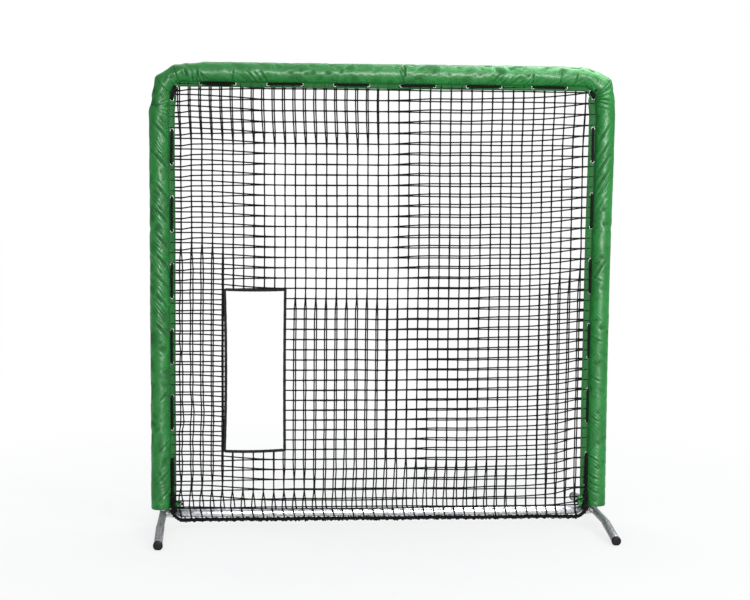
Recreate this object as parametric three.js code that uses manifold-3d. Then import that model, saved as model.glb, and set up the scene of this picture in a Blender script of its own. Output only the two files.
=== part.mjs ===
// A pitching target net: a padded square frame that stands on four slip-on feet, with a two-layer
// pillowcase net laced to its pads and a bound target opening low in one corner.
// Millimetres. +X to the right, +Y away from the pitcher's side, +Z up, origin on the floor
// under the middle of the frame.
import * as THREE from 'three';
import { mergeVertices } from 'three/addons/utils/BufferGeometryUtils.js';
import Module from 'manifold-3d';

const wasm = await Module();
wasm.setup();

// ---- driving dimensions ----
const OVERALL_WIDTH = 2134;          // 84 in over the pads
const OVERALL_HEIGHT = 2134;         // 84 in from the floor to the top of the pad
const PAD_DIAMETER = 91;             // round part of the padded cover
const PAD_OFFSET = 9;                // the pad is thicker on its outer side by twice this
const COVER_WALL = 1.5;              // vinyl
const NECK_ANGLE = THREE.MathUtils.degToRad(20);         // where the round turns into the flaps
const NECK_DEPTH = 3.5;              // and how far beyond the round that turn ends
const FLAP_REACH = 66;               // tube centre to the inner edge of the upright's flap
const TOP_FLAP_REACH = 58;           // the top flap is drawn up more tightly
const LACE_OFFSET = 43;              // tube centre to the line of grommets
const PAD_FOOT_Z = 80;               // lower end of the upright pads
const FOAM_RECESS = 6;               // the foam ends this far inside the cover
const TUBE_DIAMETER = 38.1;          // 1-1/2 in steel tube
const TUBE_WALL = 1.65;
const INNER_TUBE_DIAMETER = 34;      // spigots, swaged ends and the base tube
const INNER_TUBE_WALL = 2;
const BEND_RADIUS = 101.6;           // top elbows, on the centre line
const ELBOW_STUB = 30;               // straight run of the elbow before its joint
const SOCKET_DEPTH = 55;             // how far a spigot goes in
const SHOULDER = 0.01;               // length over which a tube steps down to its spigot
const BASE_Z = 56;                   // centre line of the bottom rail and the base tubes
const STUB_LENGTH = 80;              // the base's stub inside the bottom rail
const WELD_LAND = 4;                 // metal left between two bores at a weld
const FOOT_BEND_Y = 242;             // where the base tube turns down
const FOOT_BEND_RADIUS = 200;
const FOOT_SLOPE = THREE.MathUtils.degToRad(9);
const FOOT_ENGAGEMENT = 70;
const FOOT_STAND_OFF = 4;            // from the end of the bend to the foot tube's mouth
const FOOT_FIT = 0.4;                // slip fit of the foot tube on the base tube
const CAP_RADIUS = 21.5;
const CAP_EDGE = 2;                  // chamfer round its face
const CAP_WALL_END = 5;
const CAP_LENGTH = 12;
const CAP_FLAT_DEPTH = 2;            // how much of the cap's round is worn flat by the floor
const GROMMET_PITCH = 152.4;         // 6 in
const GROMMET_HOLE_RADIUS = 5.5;
const LOWEST_GROMMET_Z = 174;
const LACE_RADIUS = 4;
const LACE_TAIL = 16;
const CORNER_SEAM_TOP = THREE.MathUtils.degToRad(21);     // measured from the top rail side
const CORNER_SEAM_SIDE = THREE.MathUtils.degToRad(58);
const CORNER_PEAK = 8;               // how far the cover stands out at the side seam
const CORNER_LACE_TOP = THREE.MathUtils.degToRad(45);
const CORNER_LACE_SIDE = THREE.MathUtils.degToRad(90);
const TWINE = 3;                     // net strand
const LAYER_GAP = 1;                 // between the two net layers
const TARGET_INSET = 276.5;          // left tube's centre to the bound opening's outer edge
const TARGET_WIDTH = 291;
const TARGET_BOTTOM = 340;
const TARGET_HEIGHT = 763;
const BINDING_WIDTH = 13;
const BINDING_DEPTH = 9;
const ROPE_RADIUS = 6;
const ROPE_Z = 28;
const NET_SIDE_INSET = 97.5;         // tube centre to the last strands that reach the bottom rope
const NET_SIDE_FOOT_Z = 217;         // where the strips inside the flaps end
const NET_TURN_Z = 95;               // the layers part above the bottom rail
const NET_RAIL_Z = 52;               // and are widest a little below its middle
const RAIL_GAP = 1.2;                // between each layer and the rail there
const NET_TURN_DRAW = 3;             // how far they have drawn together at the turn
const COLUMN_SHIFT = 0.5;            // back layer against the front one, in meshes
const ROW_SHIFT = 0.4;
const TAB_RADIUS = 23;
const TAB_THICKNESS = 22;
const TAB_Z = 104;
const SCREW_RADIUS = 3;
const SCREW_HEAD_ACROSS = 10;
const SCREW_HEAD_HEIGHT = 4;
const SCREW_POINT = 4;               // past the wall that it holds
const BASE_SCREW_RISE = 35;          // above the base tube
const RAIL_SCREW_INSET = 62;         // from the tube centre
const CLEARANCE = 0.3;

// ---- facets ----
const ROUND_SIDES = 12;
const RING_SIDES = 14;
const LACE_SIDES = 5;
const HOLE_SIDES = 6;
const ELBOW_STEPS = 6;
const SEAM_STEPS = 3;
const TAB_FACETS = [12, 8];
const OVERCUT = 1;                   // how far a cutting solid runs past a face

// ---- sizes that follow ----
const padRadius = PAD_DIAMETER / 2;
const tubeRadius = TUBE_DIAMETER / 2;
const innerRadius = INNER_TUBE_DIAMETER / 2;
const tubeBore = tubeRadius - TUBE_WALL;
const innerBore = innerRadius - INNER_TUBE_WALL;
const padReach = padRadius + PAD_OFFSET;
const uprightX = OVERALL_WIDTH / 2 - padReach;
const topZ = OVERALL_HEIGHT - padReach;
const bendX = uprightX - BEND_RADIUS;
const bendZ = topZ - BEND_RADIUS;
const elbowJointZ = bendZ - ELBOW_STUB;
const elbowJointX = bendX - ELBOW_STUB;
const slitHalf = LAYER_GAP / 2 + TWINE + CLEARANCE;
const flapFace = slitHalf + COVER_WALL;
const laceFace = flapFace + CLEARANCE + LACE_RADIUS;
const laceX = uprightX - LACE_OFFSET;
const laceZ = topZ - LACE_OFFSET;
const netEdgeX = uprightX - tubeRadius - CLEARANCE;
const netEdgeZ = topZ - tubeRadius - CLEARANCE;
const netBendRadius = netEdgeX - bendX;
const elbowStep = Math.PI / 2 / ELBOW_STEPS;
const netSide = uprightX - NET_SIDE_INSET;
const railSpread = tubeRadius + RAIL_GAP;
const targetLeft = TARGET_INSET - uprightX;
const targetRight = targetLeft + TARGET_WIDTH;
const targetTop = TARGET_BOTTOM + TARGET_HEIGHT;
const footMouth = FOOT_BEND_RADIUS * Math.tan(FOOT_SLOPE / 2) + FOOT_STAND_OFF;
const capCentreZ = CAP_RADIUS * Math.cos(Math.PI / ROUND_SIDES) * Math.cos(FOOT_SLOPE) - CAP_FLAT_DEPTH;
const footLength = (BASE_Z - capCentreZ) / Math.sin(FOOT_SLOPE);
const screwReach = tubeRadius - innerBore + SCREW_POINT;
const topGrommets = Math.floor((2 * bendX) / GROMMET_PITCH) + 1;
const sideGrommets = Math.floor((bendZ - LOWEST_GROMMET_Z) / GROMMET_PITCH) + 1;

// ---- materials ----
const finish = (color, roughness, metalness = 0) =>
  new THREE.MeshStandardMaterial({ color, roughness, metalness });
const steel = finish(0xb4b6b8, 0.35, 0.9);
const darkSteel = finish(0x8c8f92, 0.45, 0.9);
const zinc = finish(0x9a9a96, 0.4, 0.8);
const rubber = finish(0x1c1c1c, 0.8);
const vinyl = finish(0x2f8a40, 0.4);
const foamStuff = finish(0xd8d4c4, 0.95);
const twine = finish(0x161616, 0.85);
const webbing = finish(0x101010, 0.8);
const cord = finish(0x0d0d0d, 0.75);

const part = new THREE.Group();

function add(name, geometry, material) {
  const mesh = new THREE.Mesh(geometry, material);
  mesh.name = name;
  part.add(mesh);
  return mesh;
}

// ---- solids ----
function solidOf(geometry) {
  const bare = geometry.clone();
  bare.deleteAttribute('normal');
  bare.deleteAttribute('uv');
  const merged = mergeVertices(bare, 1e-4);
  return new wasm.Manifold(new wasm.Mesh({
    numProp: 3,
    vertProperties: new Float32Array(merged.attributes.position.array),
    triVerts: new Uint32Array(merged.index.array),
  }));
}

function geometryOf(solid) {
  const mesh = solid.getMesh();
  const points = new Float32Array((mesh.vertProperties.length / mesh.numProp) * 3);
  for (let i = 0; i * 3 < points.length; i += 1) {
    for (let k = 0; k < 3; k += 1) points[i * 3 + k] = mesh.vertProperties[i * mesh.numProp + k];
  }
  const geometry = new THREE.BufferGeometry();
  geometry.setAttribute('position', new THREE.BufferAttribute(points, 3));
  geometry.setIndex(new THREE.BufferAttribute(new Uint32Array(mesh.triVerts), 1));
  return geometry;
}

function cut(geometry, ...tools) {
  let solid = solidOf(geometry);
  for (const tool of tools) solid = solid.subtract(solidOf(tool));
  return geometryOf(solid);
}

function join(...pieces) {
  let solid = solidOf(pieces[0]);
  for (const piece of pieces.slice(1)) solid = solid.add(solidOf(piece));
  return geometryOf(solid);
}

// Joins rings of equal size into one closed skin, with its ends closed or the loop run round.
function skin(rings, { closed = false, capOf = null } = {}) {
  const size = rings[0].length;
  const points = rings.flat();
  const faces = [];
  const steps = closed ? rings.length : rings.length - 1;
  for (let r = 0; r < steps; r += 1) {
    const here = r * size;
    const next = ((r + 1) % rings.length) * size;
    for (let i = 0; i < size; i += 1) {
      const j = (i + 1) % size;
      faces.push([here + i, here + j, next + j], [here + i, next + j, next + i]);
    }
  }
  if (!closed) {
    const last = (rings.length - 1) * size;
    for (const [a, b, c] of capOf) {
      faces.push([a, c, b], [last + a, last + b, last + c]);
    }
  }
  const geometry = new THREE.BufferGeometry();
  const flat = points.flatMap((p) => [p.x, p.y, p.z]);
  geometry.setAttribute('position', new THREE.Float32BufferAttribute(flat, 3));
  geometry.setIndex(faces.flat());
  return outward(geometry);
}

// Turns a closed skin the right way out.
function outward(geometry) {
  const p = geometry.attributes.position;
  const index = geometry.index.array;
  const [a, b, c] = [new THREE.Vector3(), new THREE.Vector3(), new THREE.Vector3()];
  let volume = 0;
  for (let i = 0; i < index.length; i += 3) {
    a.fromBufferAttribute(p, index[i]);
    b.fromBufferAttribute(p, index[i + 1]);
    c.fromBufferAttribute(p, index[i + 2]);
    volume += a.dot(b.cross(c));
  }
  if (volume < 0) {
    for (let i = 0; i < index.length; i += 3) {
      [index[i + 1], index[i + 2]] = [index[i + 2], index[i + 1]];
    }
  }
  geometry.computeVertexNormals();
  return geometry;
}

// A flat section (inward, front) carried along stations { at, inward, front }. A station's bulge
// stretches the section's outer half.
function sweep(section, stations, options = {}) {
  const rings = stations.map(({ at, inward, front, bulge = 1 }) => section.map(([u, v]) =>
    at.clone().addScaledVector(inward, u < 0 ? u * bulge : u).addScaledVector(front, v)));
  const capOf = THREE.ShapeUtils.triangulateShape(section.map(([u, v]) => new THREE.Vector2(u, v)), []);
  return skin(rings, { ...options, capOf });
}

const circle = (radius, sides) => Array.from({ length: sides }, (_, i) => {
  const angle = (2 * Math.PI * (i + 0.5)) / sides;
  return [radius * Math.cos(angle), radius * Math.sin(angle)];
});

// Stations along a route of points in space, with the section square to the route.
function route(points, closed = false) {
  const at = points.map((p) => new THREE.Vector3(...p));
  const count = at.length;
  let inward = null;
  return at.map((p, i) => {
    const before = at[closed ? (i + count - 1) % count : Math.max(i - 1, 0)];
    const after = at[closed ? (i + 1) % count : Math.min(i + 1, count - 1)];
    const along = after.clone().sub(before).normalize();
    if (!inward) {
      inward = new THREE.Vector3(0, 1, 0);
      if (Math.abs(along.y) > 0.9) inward.set(1, 0, 0);
    }
    inward = inward.clone().addScaledVector(along, -inward.dot(along)).normalize();
    const front = along.clone().cross(inward);
    return { at: p, inward, front };
  });
}

const rope = (points, radius, sides, closed = false) =>
  sweep(circle(radius, sides), route(points, closed), { closed });

// A round bar between two points, with its facets in line with the pipes'.
const bar = (from, to, radius, sides = ROUND_SIDES) => rope([from, to], radius, sides);

// A bent pipe: stations { p, outer, bore } on a route.
function pipe(stations, sides = ROUND_SIDES) {
  const places = route(stations.map(({ p }) => p));
  const ring = (place, radius) => circle(radius, sides).map(([u, v]) =>
    place.at.clone().addScaledVector(place.inward, u).addScaledVector(place.front, v));
  const outside = stations.map(({ outer }, i) => ring(places[i], outer));
  const inside = stations.map(({ bore }, i) => ring(places[i], bore)).reverse();
  return skin([...outside, ...inside], { closed: true });
}

const straightPipe = (from, to, outer, bore) =>
  pipe([{ p: from, outer, bore }, { p: to, outer, bore }]);

// ---- frame ----
const sides = [{ name: 'left', s: -1 }, { name: 'right', s: 1 }];
const ends = [{ name: 'front', e: -1 }, { name: 'rear', e: 1 }];

// A hex-head tapping screw driven from `head` along `way`.
function screw(head, way) {
  const start = new THREE.Vector3(...head);
  const to = (d) => start.clone().addScaledVector(new THREE.Vector3(...way), d).toArray();
  const hex = bar(to(-SCREW_HEAD_HEIGHT), to(0), SCREW_HEAD_ACROSS / Math.sqrt(3), 6);
  return join(hex, bar(to(-OVERCUT), to(screwReach), SCREW_RADIUS, 6));
}

const screwHole = (head, way) => {
  const start = new THREE.Vector3(...head);
  const to = (d) => start.clone().addScaledVector(new THREE.Vector3(...way), d).toArray();
  return bar(to(-2 * OVERCUT), to(screwReach + 2 * OVERCUT), SCREW_RADIUS + CLEARANCE, 6);
};

const rearFace = tubeRadius + CLEARANCE;
const screws = [];
for (const { name, s } of sides) {
  const towardFront = [0, -1, 0];
  const up = [0, 0, 1];
  screws.push(
    { name: `${name}_base_screw`, at: [s * uprightX, rearFace, BASE_Z + innerRadius + BASE_SCREW_RISE],
      way: towardFront, through: [`${name}_base`, `${name}_upright`, `${name}_upright_foam`] },
    { name: `${name}_elbow_screw`, at: [s * uprightX, rearFace, elbowJointZ - SOCKET_DEPTH / 2],
      way: towardFront, through: [`${name}_elbow`, `${name}_upright`, `${name}_upright_foam`] },
    { name: `${name}_top_screw`, at: [s * (elbowJointX - SOCKET_DEPTH / 2), rearFace, topZ],
      way: towardFront, through: [`${name}_elbow`, `${name}_top_rail`, 'top_foam'] },
    { name: `${name}_coupler_screw`, at: [s * SOCKET_DEPTH / 2, rearFace, topZ], way: towardFront,
      through: ['top_coupler', `${name}_top_rail`, 'top_foam'] },
    { name: `${name}_rail_screw`, at: [s * (uprightX - RAIL_SCREW_INSET), 0, BASE_Z - rearFace], way: up,
      through: [`${name}_base`, 'bottom_rail'] },
  );
}
const holesIn = (node) => screws.filter(({ through }) => through.includes(node))
  .map(({ at, way }) => screwHole(at, way));

function withScrewHoles(node, geometry) {
  return cut(geometry, ...holesIn(node));
}

// Points along the base tube, from the middle to one end, in the plane of the tube.
function baseHalf(e) {
  const points = [];
  const bendSteps = 3;
  for (let i = 0; i <= bendSteps; i += 1) {
    const angle = (FOOT_SLOPE * i) / bendSteps;
    points.push([
      e * (FOOT_BEND_Y + FOOT_BEND_RADIUS * (Math.sin(angle) - Math.tan(FOOT_SLOPE / 2))),
      BASE_Z - FOOT_BEND_RADIUS * (1 - Math.cos(angle)),
    ]);
  }
  const run = (length) => [
    e * (FOOT_BEND_Y + length * Math.cos(FOOT_SLOPE)), BASE_Z - length * Math.sin(FOOT_SLOPE)];
  points.push(run(footMouth + FOOT_ENGAGEMENT));
  return points;
}

for (const { name, s } of sides) {
  const x = s * uprightX;
  const line = [...baseHalf(-1).reverse(), ...baseHalf(1)];
  const at = line.map(([y, z]) => [x, y, z]);
  const tube = rope(at, innerRadius, ROUND_SIDES);
  const first = new THREE.Vector3(...at[0]);
  const last = new THREE.Vector3(...at[at.length - 1]);
  const beyond = (end, inner) => end.clone().addScaledVector(
    end.clone().sub(new THREE.Vector3(...inner)).normalize(), OVERCUT).toArray();
  const borePoints = [beyond(first, at[1]), ...at.slice(1, -1), beyond(last, at[at.length - 2])];
  const bore = rope(borePoints, innerBore, ROUND_SIDES);
  const spigotTop = PAD_FOOT_Z + SOCKET_DEPTH;
  const stubEnd = s * (uprightX - tubeRadius - STUB_LENGTH);
  const post = bar([x, 0, BASE_Z], [x, 0, spigotTop], innerRadius);
  const stub = bar([x, 0, BASE_Z], [stubEnd, 0, BASE_Z], innerRadius);
  const weld = innerRadius + WELD_LAND;
  const postBore = bar([x, 0, BASE_Z + weld], [x, 0, spigotTop + OVERCUT], innerBore);
  const stubBore = bar([x - s * weld, 0, BASE_Z], [stubEnd - s * OVERCUT, 0, BASE_Z], innerBore);
  const weldment = cut(join(tube, post, stub), bore, postBore, stubBore);
  add(`${name}_base`, withScrewHoles(`${name}_base`, weldment), darkSteel);

  for (const { name: end, e } of ends) {
    const run = (length) => [x, e * (FOOT_BEND_Y + length * Math.cos(FOOT_SLOPE)),
      BASE_Z - length * Math.sin(FOOT_SLOPE)];
    add(`${end}_${name}_foot_tube`,
      straightPipe(run(footMouth), run(footLength), tubeRadius, innerRadius + FOOT_FIT), steel);
    const capProfile = [
      [0, -CAP_WALL_END], [CAP_RADIUS - CAP_EDGE, -CAP_WALL_END], [CAP_RADIUS, CAP_EDGE - CAP_WALL_END],
      [CAP_RADIUS, CAP_LENGTH], [tubeRadius + CLEARANCE, CAP_LENGTH], [tubeRadius + CLEARANCE, 0], [0, 0],
    ].map(([r, h]) => new THREE.Vector2(r, h));
    const cap = new THREE.LatheGeometry(capProfile, ROUND_SIDES, Math.PI / 2 - Math.PI / ROUND_SIDES);
    const upSlope = new THREE.Vector3(0, -e * Math.cos(FOOT_SLOPE), Math.sin(FOOT_SLOPE));
    cap.applyQuaternion(new THREE.Quaternion().setFromUnitVectors(new THREE.Vector3(0, 1, 0), upSlope));
    cap.translate(...run(footLength + CLEARANCE));
    const floorBlock = 4 * CAP_RADIUS;
    const floor = new THREE.BoxGeometry(floorBlock, floorBlock, floorBlock);
    floor.translate(x, e * (FOOT_BEND_Y + footLength), -floorBlock / 2);
    add(`${end}_${name}_foot_cap`, cut(cap, floor), rubber);
  }

  const uprightFoot = BASE_Z + innerRadius + CLEARANCE;
  add(`${name}_upright`, withScrewHoles(`${name}_upright`, straightPipe(
    [x, 0, uprightFoot], [x, 0, elbowJointZ - CLEARANCE], tubeRadius, tubeBore)), steel);

  add(`${name}_elbow`, withScrewHoles(`${name}_elbow`, elbow(s)), steel);

  add(`${name}_top_rail`, withScrewHoles(`${name}_top_rail`, straightPipe(
    [s * CLEARANCE, 0, topZ], [s * (elbowJointX - CLEARANCE), 0, topZ], tubeRadius, tubeBore)), steel);
}

function elbow(s) {
  const stations = [];
  const put = (x, z, outer) => stations.push({ p: [s * x, 0, z], outer, bore: innerBore });
  put(uprightX, elbowJointZ - SOCKET_DEPTH, innerRadius);
  put(uprightX, elbowJointZ, innerRadius);
  put(uprightX, elbowJointZ + SHOULDER, tubeRadius);
  for (let i = 0; i <= ELBOW_STEPS; i += 1) {
    const angle = elbowStep * i;
    put(bendX + BEND_RADIUS * Math.cos(angle), bendZ + BEND_RADIUS * Math.sin(angle), tubeRadius);
  }
  put(elbowJointX + SHOULDER, topZ, tubeRadius);
  put(elbowJointX, topZ, innerRadius);
  put(elbowJointX - SOCKET_DEPTH, topZ, innerRadius);
  return pipe(stations);
}

add('top_coupler', withScrewHoles('top_coupler', straightPipe(
  [-SOCKET_DEPTH, 0, topZ], [SOCKET_DEPTH, 0, topZ], innerRadius, innerBore)), darkSteel);
const railEnd = uprightX - tubeRadius - CLEARANCE;
add('bottom_rail', withScrewHoles('bottom_rail', straightPipe(
  [-railEnd, 0, BASE_Z], [railEnd, 0, BASE_Z], tubeRadius, tubeBore)), steel);
for (const { name, at, way } of screws) add(name, screw(at, way), zinc);

// ---- pads ----
// Points on an arc in the section's plane, about a centre `middle` along its inward axis.
const arc = (radius, from, to, steps, middle = 0) => Array.from({ length: steps + 1 }, (_, i) => {
  const angle = from + ((to - from) * i) / steps;
  return [middle + radius * Math.cos(angle), radius * Math.sin(angle)];
});

// The cover's section: a round skin, drawn in to two flaps with a slit between them for the net.
function coverSection(reach) {
  const innerSkin = padRadius - COVER_WALL;
  const root = padRadius + NECK_DEPTH - PAD_OFFSET;
  const innerRoot = root - COVER_WALL / 2;
  const around = 2 * Math.PI - NECK_ANGLE;
  return [
    [reach, flapFace], [root, flapFace],
    ...arc(padRadius, NECK_ANGLE, around, RING_SIDES, -PAD_OFFSET),
    [root, -flapFace], [reach, -flapFace], [reach, -slitHalf], [innerRoot, -slitHalf],
    ...arc(innerSkin, around, NECK_ANGLE, RING_SIDES, -PAD_OFFSET),
    [innerRoot, slitHalf], [reach, slitHalf],
  ];
}

// The radius at which an arc's corners lie, so that its flats stay clear of a round of `radius`.
const clearOf = (radius, span, steps) => radius / Math.cos(span / steps / 2);

function foamSection() {
  const [outerSteps, innerSteps] = [12, 10];
  const mouth = slitHalf + CLEARANCE;
  const outer = (padRadius - COVER_WALL) * Math.cos(Math.PI / RING_SIDES) - 2 * CLEARANCE;
  const outerMouth = Math.asin(mouth / outer);
  const innerMouth = Math.asin(mouth / tubeRadius);
  const inner = clearOf(tubeRadius + CLEARANCE, 2 * Math.PI, innerSteps);
  return [
    ...arc(outer, outerMouth, 2 * Math.PI - outerMouth, outerSteps, -PAD_OFFSET),
    ...arc(inner, 2 * Math.PI - innerMouth, innerMouth, innerSteps),
  ];
}

const FRONT = new THREE.Vector3(0, -1, 0);

// Stations on the top elbow's bend, angles measured from the top rail towards the upright. The
// cover stands out by the two peaks at its ends.
function bendStations(s, from, to, steps, peaks = [0, 0]) {
  return Array.from({ length: steps + 1 }, (_, i) => {
    const share = i / steps;
    const angle = from + (to - from) * share;
    const outside = new THREE.Vector3(s * Math.sin(angle), 0, Math.cos(angle));
    const at = new THREE.Vector3(s * bendX, 0, bendZ).addScaledVector(outside, BEND_RADIUS);
    const bulge = 1 + (peaks[0] + (peaks[1] - peaks[0]) * share) / padReach;
    return { at, inward: outside.clone().negate(), front: FRONT, bulge };
  });
}

const uprightStation = (s, z) => (
  { at: new THREE.Vector3(s * uprightX, 0, z), inward: new THREE.Vector3(-s, 0, 0), front: FRONT });

const seamGap = CLEARANCE / (2 * (BEND_RADIUS - FLAP_REACH));
const holeCorner = clearOf(GROMMET_HOLE_RADIUS, 2 * Math.PI, HOLE_SIDES);
const throughFlaps = (x, z) => bar([x, -2 * flapFace, z], [x, 2 * flapFace, z], holeCorner, HOLE_SIDES);
const cornerPoint = (s, angle) => {
  const radius = BEND_RADIUS - LACE_OFFSET;
  return [s * (bendX + radius * Math.sin(angle)), bendZ + radius * Math.cos(angle)];
};
const uprightHoles = (s) => Array.from({ length: sideGrommets }, (_, i) =>
  [s * laceX, LOWEST_GROMMET_Z + i * GROMMET_PITCH]);
const topHoles = Array.from({ length: topGrommets }, (_, i) =>
  [(i - (topGrommets - 1) / 2) * GROMMET_PITCH, laceZ]);
const screwPocket = ({ at, way }) => {
  const start = new THREE.Vector3(...at);
  const to = (d) => start.clone().addScaledVector(new THREE.Vector3(...way), d).toArray();
  const across = SCREW_HEAD_ACROSS / Math.sqrt(3) + CLEARANCE;
  return bar(to(-SCREW_HEAD_HEIGHT - CLEARANCE), to(OVERCUT), across, 6);
};
const pocketsIn = (node) => screws.filter(({ through }) => through.includes(node)).map(screwPocket);

for (const { name, s } of sides) {
  const uprightCover = sweep(coverSection(FLAP_REACH), [uprightStation(s, PAD_FOOT_Z),
    ...bendStations(s, Math.PI / 2, CORNER_SEAM_SIDE + seamGap, SEAM_STEPS, [0, CORNER_PEAK])]);
  add(`${name}_upright_cover`, cut(uprightCover,
    ...uprightHoles(s).map(([x, z]) => throughFlaps(x, z)),
    throughFlaps(...cornerPoint(s, CORNER_LACE_SIDE))), vinyl);
  const gore = sweep(coverSection(TOP_FLAP_REACH),
    bendStations(s, CORNER_SEAM_SIDE - seamGap, CORNER_SEAM_TOP + seamGap, SEAM_STEPS, [CORNER_PEAK, 0]));
  add(`${name}_corner_cover`, cut(gore, throughFlaps(...cornerPoint(s, CORNER_LACE_TOP))), vinyl);
  const uprightFoam = sweep(foamSection(), [
    uprightStation(s, PAD_FOOT_Z + FOAM_RECESS), uprightStation(s, bendZ - CLEARANCE)]);
  add(`${name}_upright_foam`, cut(uprightFoam, ...pocketsIn(`${name}_upright_foam`)), foamStuff);
  add(`${name}_corner_foam`, sweep(foamSection(), bendStations(s, Math.PI / 2, 0, ELBOW_STEPS)), foamStuff);
}
const topCover = sweep(coverSection(TOP_FLAP_REACH), [
  ...bendStations(-1, CORNER_SEAM_TOP - seamGap, 0, SEAM_STEPS),
  ...bendStations(1, 0, CORNER_SEAM_TOP - seamGap, SEAM_STEPS)]);
add('top_cover', cut(topCover, ...topHoles.map(([x, z]) => throughFlaps(x, z))), vinyl);
const down = new THREE.Vector3(0, 0, -1);
const topStation = (x) => ({ at: new THREE.Vector3(x, 0, topZ), inward: down, front: FRONT });
add('top_foam', cut(sweep(foamSection(), [
  topStation(-bendX + CLEARANCE), topStation(bendX - CLEARANCE)]), ...pocketsIn('top_foam')), foamStuff);

// ---- laces ----
// A running stitch through points (x, z): front between the first two, back between the next two.
function stitch(holes) {
  const turn = LACE_RADIUS + 2 * CLEARANCE;
  const spots = holes.map(([x, z]) => new THREE.Vector2(x, z));
  const points = [];
  const put = (spot, y) => points.push([spot.x, y, spot.y]);
  spots.forEach((spot, i) => {
    const toBack = i % 2 === 1;
    const arrive = i === 0 ? spots[0].clone().sub(spots[1]) : spots[i].clone().sub(spots[i - 1]);
    arrive.normalize();
    const isLast = i === spots.length - 1;
    const leave = isLast ? arrive.clone() : spots[i + 1].clone().sub(spot).normalize();
    const from = toBack ? -laceFace : laceFace;
    const before = (d) => spot.clone().addScaledVector(arrive, i === 0 ? d : -d);
    const after = (d) => spot.clone().addScaledVector(leave, d);
    const sign = Math.sign(from);
    if (i === 0) put(before(turn + LACE_TAIL), from);
    put(before(turn), from);
    put(spot, from - sign * turn);
    put(spot, -from + sign * turn);
    put(after(turn), -from);
    if (isLast) put(after(turn + LACE_TAIL), -from);
  });
  return rope(points, LACE_RADIUS, LACE_SIDES);
}

// A short tie through two holes, closed behind the flaps.
function loop([x0, z0], [x1, z1]) {
  const turn = LACE_RADIUS + 2 * CLEARANCE;
  const a = new THREE.Vector2(x0, z0);
  const b = new THREE.Vector2(x1, z1);
  const way = b.clone().sub(a).normalize();
  const points = [];
  const put = (spot, y) => points.push([spot.x, y, spot.y]);
  for (const [spot, f] of [[a, 1], [b, -1]]) {
    const near = (d) => spot.clone().addScaledVector(way, f * d);
    put(near(turn), f * laceFace);
    put(spot, f * (laceFace - turn));
    put(spot, -f * (laceFace - turn));
    put(near(turn), -f * laceFace);
  }
  return rope(points, LACE_RADIUS, LACE_SIDES, true);
}

add('top_lace', stitch(topHoles), cord);
for (const { name, s } of sides) {
  add(`${name}_lace`, stitch(uprightHoles(s).reverse()), cord);
  add(`${name}_corner_lace`, loop(cornerPoint(s, CORNER_LACE_TOP), cornerPoint(s, CORNER_LACE_SIDE)), cord);
  const tab = new THREE.SphereGeometry(TAB_RADIUS, ...TAB_FACETS);
  tab.scale(1, TAB_THICKNESS / (2 * TAB_RADIUS), 1);
  tab.translate(s * (uprightX - FLAP_REACH), -(flapFace + CLEARANCE + TAB_THICKNESS / 2), TAB_Z);
  add(`${name}_cover_tab`, tab, vinyl);
}

// ---- net ----
// Strand lines between two fixed ones, `shift` meshes along.
const between = (from, to, meshes, shift) => Array.from({ length: meshes - 1 }, (_, i) =>
  from + ((to - from) * (i + 1 - shift)) / meshes);

// Closes a flat pattern of four-sided patches into a plate: `place` gives each corner its spot on
// the near face (0) and the far face (1).
function plate(patches, place) {
  const corners = [];
  const known = new Map();
  const corner = ([x, z]) => {
    const key = `${x.toFixed(3)},${z.toFixed(3)}`;
    if (!known.has(key)) known.set(key, corners.push([x, z]) - 1);
    return known.get(key);
  };
  const quads = patches.map((patch) => patch.map(corner));
  const count = corners.length;
  const edges = new Map();
  const faces = [];
  for (const [a, b, c, d] of quads) {
    faces.push([a, b, c], [a, c, d], [a + count, c + count, b + count], [a + count, d + count, c + count]);
    for (const [from, to] of [[a, b], [b, c], [c, d], [d, a]]) {
      if (edges.has(`${to},${from}`)) edges.delete(`${to},${from}`);
      else edges.set(`${from},${to}`, [from, to]);
    }
  }
  for (const [from, to] of edges.values()) {
    faces.push([from, from + count, to + count], [from, to + count, to]);
  }
  const points = [0, 1].flatMap((face) => corners.map(([x, z]) => place(x, z, face)));
  const geometry = new THREE.BufferGeometry();
  geometry.setAttribute('position', new THREE.Float32BufferAttribute(points.flat(), 3));
  geometry.setIndex(faces.flat());
  return outward(geometry);
}

const netHalf = TWINE / 2;
const netTarget = {
  left: targetLeft - netHalf - CLEARANCE, right: targetRight + netHalf + CLEARANCE,
  bottom: TARGET_BOTTOM - netHalf - CLEARANCE, top: targetTop + netHalf + CLEARANCE,
};

// How far a layer's inner face stands off the middle of the frame at height z.
function netSpread(z) {
  const stops = [[ROPE_Z, ROPE_RADIUS + CLEARANCE], [NET_RAIL_Z, railSpread],
    [NET_TURN_Z, railSpread - NET_TURN_DRAW], [NET_SIDE_FOOT_Z - netHalf, LAYER_GAP / 2]];
  if (z <= ROPE_Z) return stops[0][1];
  for (let k = 0; k + 1 < stops.length; k += 1) {
    const [[zLow, low], [zHigh, high]] = [stops[k], stops[k + 1]];
    if (z <= zHigh) return low + ((high - low) * (z - zLow)) / (zHigh - zLow);
  }
  return LAYER_GAP / 2;
}

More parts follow.
